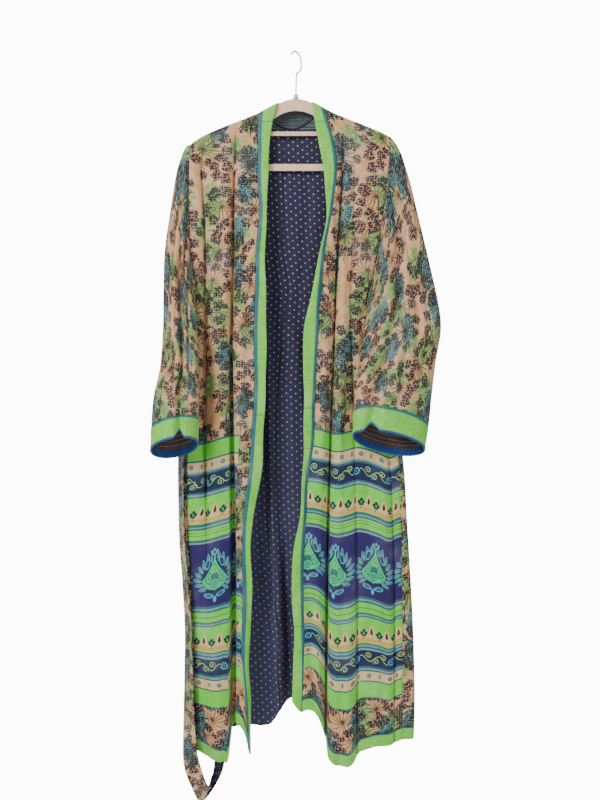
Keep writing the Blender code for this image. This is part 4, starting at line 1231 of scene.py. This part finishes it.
def medallions(u, v, middle, ink):
    # A drop with a spiral heart inside a drop-shaped ring of small leaves, two buds and a
    # tulip above, leaves and a small drop below
    p = repeat(u, 90.0) * 0.9
    q = (v - middle) * 0.96
    side = absolute(p)
    squeeze = rise(q, -10, 50)
    wide = p * (1 + squeeze * 0.35)
    ring = away(wide, q * (1 - squeeze * 0.22))
    turn = turnOf(q, wide)
    ink = blend(below(ring, 36, 1.0) * 0.6 * below(q, 36, 2.0), ink, inks["tealDark"])
    lobe = repeat(turn + 0.18, 0.3307) * ring
    along = (ring - 32.5) / 8.8
    slant = absolute(lobe + (ring - 34) * 0.5 * (1 - 2 * rise(p, -0.5, 0.5)))
    edge = slant - root(1 - along * along) * (4.7 - along * 1.6)
    gaps = rise(absolute(repeat(turn - 1.5708, 6.2832)), 0.12, 0.16) * below(absolute(along), 1.0, 0.05)
    gaps = gaps * rise(absolute(repeat(turn + 1.5708, 6.2832)), 0.5, 0.54)
    ink = blend(below(edge, 0.0, 0.4) * gaps, ink, inks["sky"])
    ink = blend(below(edge, -1.5, 0.4) * gaps, ink, inks["line"])
    ink = blend(below(edge, -3.1, 0.3) * gaps, ink, inks["tealPale"])
    # Inner drop: round below, drawn to a point above, with two curled commas and a spiral heart
    low, high = most(-(q + 6), 0.0) / 21, most(q + 6, 0.0) / 38
    body = side - root(1 - low * low) * 21 * (1 - high * (1.35 - high * 0.35))
    low = between(q, -29, 33, 0.5)
    for inset, name in ((2.6, "tealDark"), (1.4, "mint"), (-1.6, "line"), (-3.0, "mint"), (-9.0, "line")):
        ink = blend(below(body, inset, 0.4) * low, ink, inks[name])
    lean = rise(q, -2, 14)
    comma = away((side - 11.5 + lean * 5) * (1 + lean * 1.3), (q + 3) * 0.52)
    for size, name in ((6.0, "tealDark"), (5.0, "mint"), (3.5, "line"), (2.4, "lime"), (1.1, "tealDark")):
        ink = blend(below(comma, size, 0.4), ink, inks[name])
    spiral = away(p, q + 14)
    for size, name in ((9.2, "tealDark"), (8.0, "mint"), (6.2, "line"), (5.0, "mint"), (3.8, "plum"), (2.2, "pale")):
        ink = blend(below(spiral, size, 0.4), ink, inks[name])
    diamond = side + absolute(q - 13) * 0.7
    ink = blend(below(diamond, 6.0, 0.4), ink, inks["lime"])
    ink = blend(below(diamond, 4.2, 0.4), ink, inks["moss"])
    # Two buds at the neck of the drop, a tulip on its stem, leaves and a small drop below
    bud = away((side - 13) * 1.5 + (q - 26) * 0.3, (q - 26) * 0.62)
    ink = blend(below(bud, 6.6, 0.4), ink, inks["sky"])
    ink = blend(below(bud, 4.8, 0.4), ink, inks["tealDark"])
    ink = blend(below(bud, 2.4, 0.4), ink, inks["teal"])
    ink = blend(below(side, 1.3, 0.4) * between(q, 28, 42, 1.0), ink, inks["mint"])
    cup = away(side, (q - 50) * 0.8)
    notch = rise(q - 50 - absolute(side - 3.4) * 2.2, -0.5, 0.5)
    ink = blend(below(cup, 6.4, 0.4) * (1 - notch), ink, inks["sky"])
    ink = blend(below(away(side, (q - 48) * 0.8), 2.6, 0.4), ink, inks["teal"])
    tilt = away((side - 11) * 0.66 + (q + 38) * 0.32, (q + 38) * 1.25 - (side - 11) * 0.5)
    ink = blend(below(tilt, 6.4, 0.4), ink, inks["sky"])
    ink = blend(below(tilt, 4.4, 0.4), ink, inks["line"])
    drop = away(p * 1.7, (q + 47) * 0.8)
    return blend(below(drop, 5.0, 0.4), ink, inks["sky"])


def roundels(u, v, middle, ink):
    # Grey discs and short bars in turn along a peach band
    p, up = repeat(u, 44.0), v - middle
    far = away(p, up)
    ink = blend(below(far, 6.2, 0.5) * 0.5, ink, inks["sand"])
    ink = blend(below(far, 4.9, 0.4), ink, inks["grey"])
    ink = blend(between(far, 1.5, 2.6, 0.4) * 0.5, ink, inks["pale"])
    bar = most(absolute(repeat(u + 22, 44.0)) * 2.2, absolute(up))
    return blend(below(bar, 4.8, 0.4), ink, inks["grey"])


def borderPrint(u, v, ground):
    # The whole border stack: the same bands run up and down from the navy medallion band
    rows = (
        (24.6, 27, "line"), (113, 116, "line"), (116, 150, "lime"), (150, 153, "line"), (153, 173, "peach"),
        (173, 176, "line"), (176, 180, "pale"), (180, 184.5, "line"), (184.5, 219, "navyDeep"), (219, 223, "pale"),
        (223, 227, "line"), (227, 231, "pale"), (231, 234, "line"), (234, 290, "lime"), (290, 293, "line"),
        (293, 296, "pale"), (296, 300, "line"), (300, 321, "lime"), (309, 310.5, "leafDark"), (321, 325, "line"),
        (325, 329, "pale"), (329, 334, "line"), (334, 469.5, "navy"), (469.5, 473, "pale"), (473, 478, "line"),
        (478, 499, "lime"), (487, 488.3, "leafDark"), (493, 494, "leafDark"), (499, 503, "line"), (503, 506, "pale"),
        (506, 512, "line"), (512, 568, "lime"), (568, 571, "line"), (571, 575, "pale"), (575, 578.5, "line"),
        (578.5, 615, "navyDeep"), (615, 619, "line"), (619, 623, "pale"), (623, 643, "peach"), (643, 646.5, "line"),
        (646.5, 679, "lime"), (679, 683, "line"),
    )
    ink = stripes(v, ground, rows)
    for base in (236.0, 513.0):
        ink = blend(between(v, base, base + 50, 0.5), ink, flames(u + base, v, base, ink))
    for low, high in ((184.5, 219), (578.5, 615)):
        middle = (low + high) / 2
        ink = blend(between(v, low + 1, high - 1, 0.5), ink, scrolls(u + low, v, middle, ink))
    for middle in (163.0, 633.0):
        ink = blend(between(v, middle - 9, middle + 9, 0.5), ink, roundels(u, v, middle, ink))
    return blend(between(v, 335, 468.5, 0.5), ink, medallions(u, v, 397.0, ink))


def group(name, make, withGround=False):
    # A print kept as one node group: two lengths in, and the ground's colour where it lies on one; ink out
    tree = bpy.data.node_groups.new(name, "ShaderNodeTree")
    tree.interface.new_socket("u", in_out="INPUT", socket_type="NodeSocketFloat")
    tree.interface.new_socket("v", in_out="INPUT", socket_type="NodeSocketFloat")
    tree.interface.new_socket("ground", in_out="INPUT", socket_type="NodeSocketColor")
    tree.interface.new_socket("ink", in_out="OUTPUT", socket_type="NodeSocketColor")
    start, end = tree.nodes.new("NodeGroupInput"), tree.nodes.new("NodeGroupOutput")
    ways = [Wire(tree, out) for out in start.outputs[:3]]
    put(tree, end.inputs[0], make(*ways) if withGround else make(*ways[:2]))
    return tree


def printed(tree, u, v, ground=None):
    node = u.tree.nodes.new("ShaderNodeGroup")
    node.node_tree = tree
    for socket, value in zip(node.inputs, (u, v, ground)):
        put(u.tree, socket, value)
    return Wire(u.tree, node.outputs[0])


def startLook(name):
    # A new material with its node tree and its shader
    look = bpy.data.materials.new(name)
    look.use_nodes = True
    return look, look.node_tree, look.node_tree.nodes["Principled BSDF"]


def addBump(tree, shader, height, strength, distance):
    bump = tree.nodes.new("ShaderNodeBump")
    bump.inputs["Strength"].default_value = strength
    bump.inputs["Distance"].default_value = distance
    put(tree, bump.inputs["Height"], height)
    tree.links.new(bump.outputs[0], shader.inputs["Normal"])


def startCloth(name):
    # A new material with the two lengths on the cut cloth, in millimetres
    look, tree, _ = startLook(name)
    cut = tree.nodes.new("ShaderNodeUVMap")
    cut.uv_map = "cut"
    flat = Wire(tree, cut.outputs[0])
    u, v, _ = split(flat)
    return look, u * 1000, v * 1000


threadStep = 0.9


def finishCloth(look, u, v, ink, roughness=0.62, sheen=0.25, crumple=1.0, creaseSize=0.045, fade=0.10):
    # Threads and small crumples as bump, slow light and dark variation in the dye, soft sheen
    tree = look.node_tree
    shader = tree.nodes["Principled BSDF"]
    place = vector(u, v)
    dye = noise(place, 0.05, 4.0, 0.6)
    ink = blend(rise(dye, 0.35, 0.75) * 0.16, ink, (0.02, 0.02, 0.02))
    ink = blend(rise(noise(place, 0.011, 3.0), 0.45, 0.8) * fade, ink, (0.9, 0.9, 0.88))
    put(tree, shader.inputs["Base Color"], ink)
    threads = (u * (6.283 / threadStep)).math("SINE") * (v * (6.283 / threadStep)).math("SINE")
    folds = noise(place, creaseSize, 4.0, 0.55)
    height = threads * 0.03 + folds * (3.0 * crumple) + noise(place, 0.35, 2.0) * 0.12
    addBump(tree, shader, height, 0.6, 0.001)
    shader.inputs["Roughness"].default_value = roughness
    shader.inputs["Sheen Weight"].default_value = sheen
    shader.inputs["Sheen Roughness"].default_value = 0.4
    shader.inputs["Specular IOR Level"].default_value = 0.35
    return look


floralGroup = group("floral print", floralPrint)
borderGroup = group("border print", borderPrint, True)


def floralCloth():
    look, u, v = startCloth("floral silk")
    return finishCloth(look, u, v, printed(floralGroup, u, v))


def borderCloth(name, shift, floralEdge, edgeFrom):
    # Floral above the border and in its lowest row; floralEdge is the width of the plain floral strip
    look, u, v = startCloth(name)
    ground = printed(floralGroup, u, v)
    ink = printed(borderGroup, u + shift, v, ground)
    if floralEdge:
        ink = blend(below(absolute(u - edgeFrom), floralEdge, 0.5) * rise(v, 362, 366), ink, ground)
    return finishCloth(look, u, v, ink)


def limeCloth(name, lineFrom, lineTo, along="u", seams=()):
    # Lime silk with a teal line between two distances from its seam, and a row of stitches
    look, u, v = startCloth(name)
    place = vector(u, v)
    ink = blend(rise(noise(place, 0.03, 3.0), 0.3, 0.7), inks["lime"], colour(0.60, 0.82, 0.47))
    ink = blend(rise(noise(place, 0.16, 3.0), 0.42, 0.68) * 0.3, ink, colour(0.38, 0.66, 0.32))
    reach, down = (u, v) if along == "u" else (v, u)
    # The front bands narrow near the hem, and their line with them
    reach = reach + rise(down, 1150, 1330) * 4.4
    ink = blend(between(reach, lineFrom, lineTo, 0.5), ink, inks["line"])
    stitch = between(reach, lineTo + 1.2, lineTo + 2.0, 0.3) * rise((down * 2.1).math("SINE"), -0.2, 0.2)
    ink = blend(stitch * 0.5, ink, inks["leafDark"])
    for seam in seams:
        ink = blend(below(absolute(down - seam), 1.1, 0.5) * 0.55, ink, inks["leafDark"])
    return finishCloth(look, u, v, ink, roughness=0.5, crumple=1.6, creaseSize=0.06)


def dottedInk(u, v):
    # Navy with small cream dots in a slanting lattice of steps (19.4, -0.9) and (9.3, 7.0), each
    # a little uneven
    a = (u * 7.5 - v * 9.9) / 155
    b = (u * 1.0 + v * 20.7) / 155
    fa, fb = repeat(a, 1.0), repeat(b, 1.0)
    x, y = fa * 20.7 + fb * 9.9, fb * 7.5 - fa
    place = vector(u, v)
    rough = noise(place, 0.5, 1.0)
    far = away(x, y) + (rough - 0.5) * 1.6
    ink = blend(rise(rough, 0.35, 0.65), inks["lining"], colour(0.17, 0.15, 0.27, 1.15))
    ink = blend(rise(noise(place, 0.12, 1.0), 0.5, 0.65) * 0.4, ink, inks["navyDeep"])
    ink = blend(between(away(x, y), 2.0, 2.8, 0.4) * 0.35, ink, inks["berry"])
    return blend(below(far, 1.6, 0.6) * 0.85, ink, inks["dotCream"])


def brocadeInk(u, v):
    # Teal and navy wavy weave, with thin pale threads along it
    sway = (u * 0.16).math("SINE") * 1.4 + (u * 0.055).math("SINE") * 2.2
    wave = ((v + sway) * 1.1).math("SINE")
    weave = rise(wave + noise(vector(u, v), 0.3, 2.0), 0.2, 0.9)
    ink = blend(weave, colour(0.22, 0.20, 0.24), colour(0.27, 0.32, 0.33))
    ink = blend(rise(((v - sway) * 0.8 + u * 0.12).math("SINE"), 0.86, 0.96) * 0.5, ink, inks["grey"])
    return blend(rise(noise(vector(u * 0.6, v * 2), 0.25, 2.0), 0.60, 0.68) * 0.35, ink, inks["tealPale"])


def dottedCloth():
    look, u, v = startCloth("dotted lining")
    return finishCloth(look, u, v, dottedInk(u, v), roughness=0.75, sheen=0.1, crumple=0.7, fade=0.0)


def backLiningCloth():
    # The dotted lining with a woven yoke above it, two rows of stitches and a seam down the middle
    look, u, v = startCloth("back lining")
    # Painted light: the dotted lining is lightened towards its foot, to offset the shade that the outer panels cast on
    # its lower part
    ink = blend((1 - rise(v, 350, 1050)) * 0.16, dottedInk(u, v), colour(0.42, 0.44, 0.56))
    ink = blend(below(absolute(u + 12), 1.2, 0.5) * 0.8, ink, inks["berry"])
    yoke = rise(v, 1284, 1285)
    ink = blend(yoke, ink, brocadeInk(u, v))
    dashes = rise((u * 1.5).math("SINE"), -0.5, 0.2) * 0.3 + 0.25
    rows = most(between(v, 1285.0, 1286.4, 0.4), between(v, 1291.5, 1292.9, 0.4))
    ink = blend(rows * dashes, ink, inks["pale"])
    return finishCloth(look, u, v, ink, roughness=0.75, sheen=0.1, crumple=0.7, fade=0.0)


def cuffLiningCloth():
    # Dark cloth with close rows of tan flecks, faced with royal blue at the cuff's edge
    look, u, v = startCloth("cuff lining")
    row = cellNumber(v, 2.9)
    p, up = repeat(u + row * 2.1, 4.3), repeat(v, 2.9)
    fleck = away(p * 0.75, up * 1.3) + noise(vector(u, v), 0.9, 1.0) - 0.5
    ink = blend(below(fleck, 0.85, 0.4) * 0.3, inks["lining"], inks["peach"])
    dashes = below(absolute(repeat(v, 8.7)), 0.7, 0.4) * rise((u * 1.6).math("SINE"), -0.3, 0.1)
    ink = blend(dashes * 0.6, ink, inks["tan"])
    ink = blend(rise(v, -10.0, -9.0), ink, inks["royal"])
    return finishCloth(look, u, v, ink, roughness=0.7, sheen=0.1, crumple=0.8, fade=0.0)


def brocadeCloth():
    look, u, v = startCloth("woven facing")
    return finishCloth(look, u, v, brocadeInk(u, v), roughness=0.7, sheen=0.1, crumple=0.4, fade=0.0)


def bindingCloth():
    look, u, v = startCloth("royal binding")
    place = vector(u, v)
    ink = blend(noise(place, 0.08, 3.0), inks["royal"], colour(0.14, 0.36, 0.58))
    slant = ((u + v) * 2.2).math("SINE")
    ink = blend(rise(slant, 0.2, 1.0) * 0.15, ink, (0.01, 0.03, 0.09))
    return finishCloth(look, u, v, ink, roughness=0.5, crumple=0.8, creaseSize=0.12)


def velvetLook():
    # Flocked plastic: fine fibres, matt, a little worn, with paler patches here and there
    look, tree, shader = startLook("hanger velvet")
    place = Wire(tree, tree.nodes.new("ShaderNodeTexCoord").outputs["Object"])
    fibres = noise(place, 1400.0, 3.0)
    patches = noise(place, 60.0, 3.0)
    ink = blend(rise(fibres, 0.35, 0.65), inks["velvet"], colour(0.84, 0.73, 0.62))
    ink = blend(rise(patches, 0.5, 0.75) * 0.25, ink, colour(0.96, 0.90, 0.82))
    put(tree, shader.inputs["Base Color"], ink)
    addBump(tree, shader, fibres, 0.5, 0.0003)
    shader.inputs["Roughness"].default_value = 0.95
    shader.inputs["Sheen Weight"].default_value = 0.5
    return look


def chromeLook():
    look, tree, shader = startLook("hook chrome")
    place = Wire(tree, tree.nodes.new("ShaderNodeTexCoord").outputs["Object"])
    shader.inputs["Base Color"].default_value = (*colour(0.78, 0.78, 0.80), 1)
    shader.inputs["Metallic"].default_value = 1.0
    put(tree, shader.inputs["Roughness"], rise(noise(place, 300.0, 3.0), 0.2, 0.9) * 0.14 + 0.12)
    return look


looks = {
    "printRight": borderCloth("border print right", -11.5, 16.0, 8.0),
    "printLeft": borderCloth("border print left", -8.5, 0.0, 0.0),
    "printBack": borderCloth("border print back", 0.0, 0.0, 0.0),
    "floral": floralCloth(),
    "hem": limeCloth("lime hem", 22.5, 26.0, "v"),
    "band": limeCloth("lime neck band", -1.0, 5.6),
    "bandRight": limeCloth("lime band right", -1.0, 7.8, "u", bandSeams["right"]),
    "bandLeft": limeCloth("lime band left", -1.0, 6.4, "u", bandSeams["left"]),
    "cuff": limeCloth("lime cuff", -1.0, 5.6, "v"),
    "dotted": dottedCloth(), "backLining": backLiningCloth(), "cuffLining": cuffLiningCloth(),
    "brocade": brocadeCloth(), "binding": bindingCloth(),
    "velvet": velvetLook(), "chrome": chromeLook(),
}
print("materials made")

for half in ("right", "left"):
    makeFront(half, looks)
print("fronts made")
makeBack(looks)
makeLining(looks)
makeNeck(looks)
print("back made")
for half in ("right", "left"):
    makeSleeve(half, looks)
makeBelt(looks)
makeHanger(looks)
print("sleeves, belt and hanger made")

# Floor, lights and camera; the floor and the sky are bright to the camera only, as a plain pale backdrop
studio = {"distance": 2.6, "lens": 57.0, "soft": 0.42, "backdrop": 12.0, "floorGlow": 11.5,
          "floor": -1.62, "floorHalf": 6.0, "cameraX": 0.0082, "cameraZ": -0.7134}
camera = bpy.data.cameras.new("camera")
camera.lens, camera.sensor_width = studio["lens"], 36
view = bpy.data.objects.new("camera", camera)
bpy.context.scene.collection.objects.link(view)
view.location = (studio["cameraX"], -studio["distance"], studio["cameraZ"])
view.rotation_euler = (math.pi / 2, 0, 0)
bpy.context.scene.camera = view


def addLight(name, place, aim, power, size):
    data = bpy.data.lights.new(name, "AREA")
    data.energy, data.size = power, size
    lamp = bpy.data.objects.new(name, data)
    lamp.location = place
    lamp.rotation_euler = (Vector(aim) - Vector(place)).to_track_quat("-Z", "Y").to_euler()
    bpy.context.scene.collection.objects.link(lamp)


def addPlane(name, corners, look):
    data = bpy.data.meshes.new(name)
    data.from_pydata(corners, [], [(0, 1, 2, 3)])
    data.materials.append(look)
    piece = bpy.data.objects.new(name, data)
    bpy.context.scene.collection.objects.link(piece)


paper, paperTree, paperShader = startLook("paper")
paperShader.inputs["Base Color"].default_value = (0.86, 0.86, 0.86, 1)
paperShader.inputs["Roughness"].default_value = 0.9
paperShader.inputs["Emission Color"].default_value = (1, 1, 1, 1)
glow = paperTree.nodes.new("ShaderNodeLightPath").outputs["Is Camera Ray"]
glowing = paperTree.nodes.new("ShaderNodeMath")
glowing.operation = "MULTIPLY"
glowing.inputs[1].default_value = studio["floorGlow"]
paperTree.links.new(glow, glowing.inputs[0])
paperTree.links.new(glowing.outputs[0], paperShader.inputs["Emission Strength"])
addPlane("floor", [(x * studio["floorHalf"], y * studio["floorHalf"], studio["floor"])
                   for x, y in ((-1, -1), (1, -1), (1, 1), (-1, 1))], paper)
addLight("key", (-1.9, -2.1, 0.9), (0, 0, -0.7), 95, 1.1)
addLight("fill", (2.4, -2.2, 0.1), (0, 0, -0.8), 26, 2.0)
addLight("back", (0, 2.6, 1.2), (0, 0, -0.7), 50, 2.0)
world = bpy.data.worlds.new("soft")
world.use_nodes = True
sky = world.node_tree.nodes["Background"]
sky.inputs["Color"].default_value = (1, 1, 1, 1)
rays = world.node_tree.nodes.new("ShaderNodeLightPath")
strength = world.node_tree.nodes.new("ShaderNodeMapRange")
strength.inputs[3].default_value, strength.inputs[4].default_value = studio["soft"], studio["backdrop"]
world.node_tree.links.new(rays.outputs["Is Camera Ray"], strength.inputs[0])
world.node_tree.links.new(strength.outputs[0], sky.inputs["Strength"])
bpy.context.scene.world = world
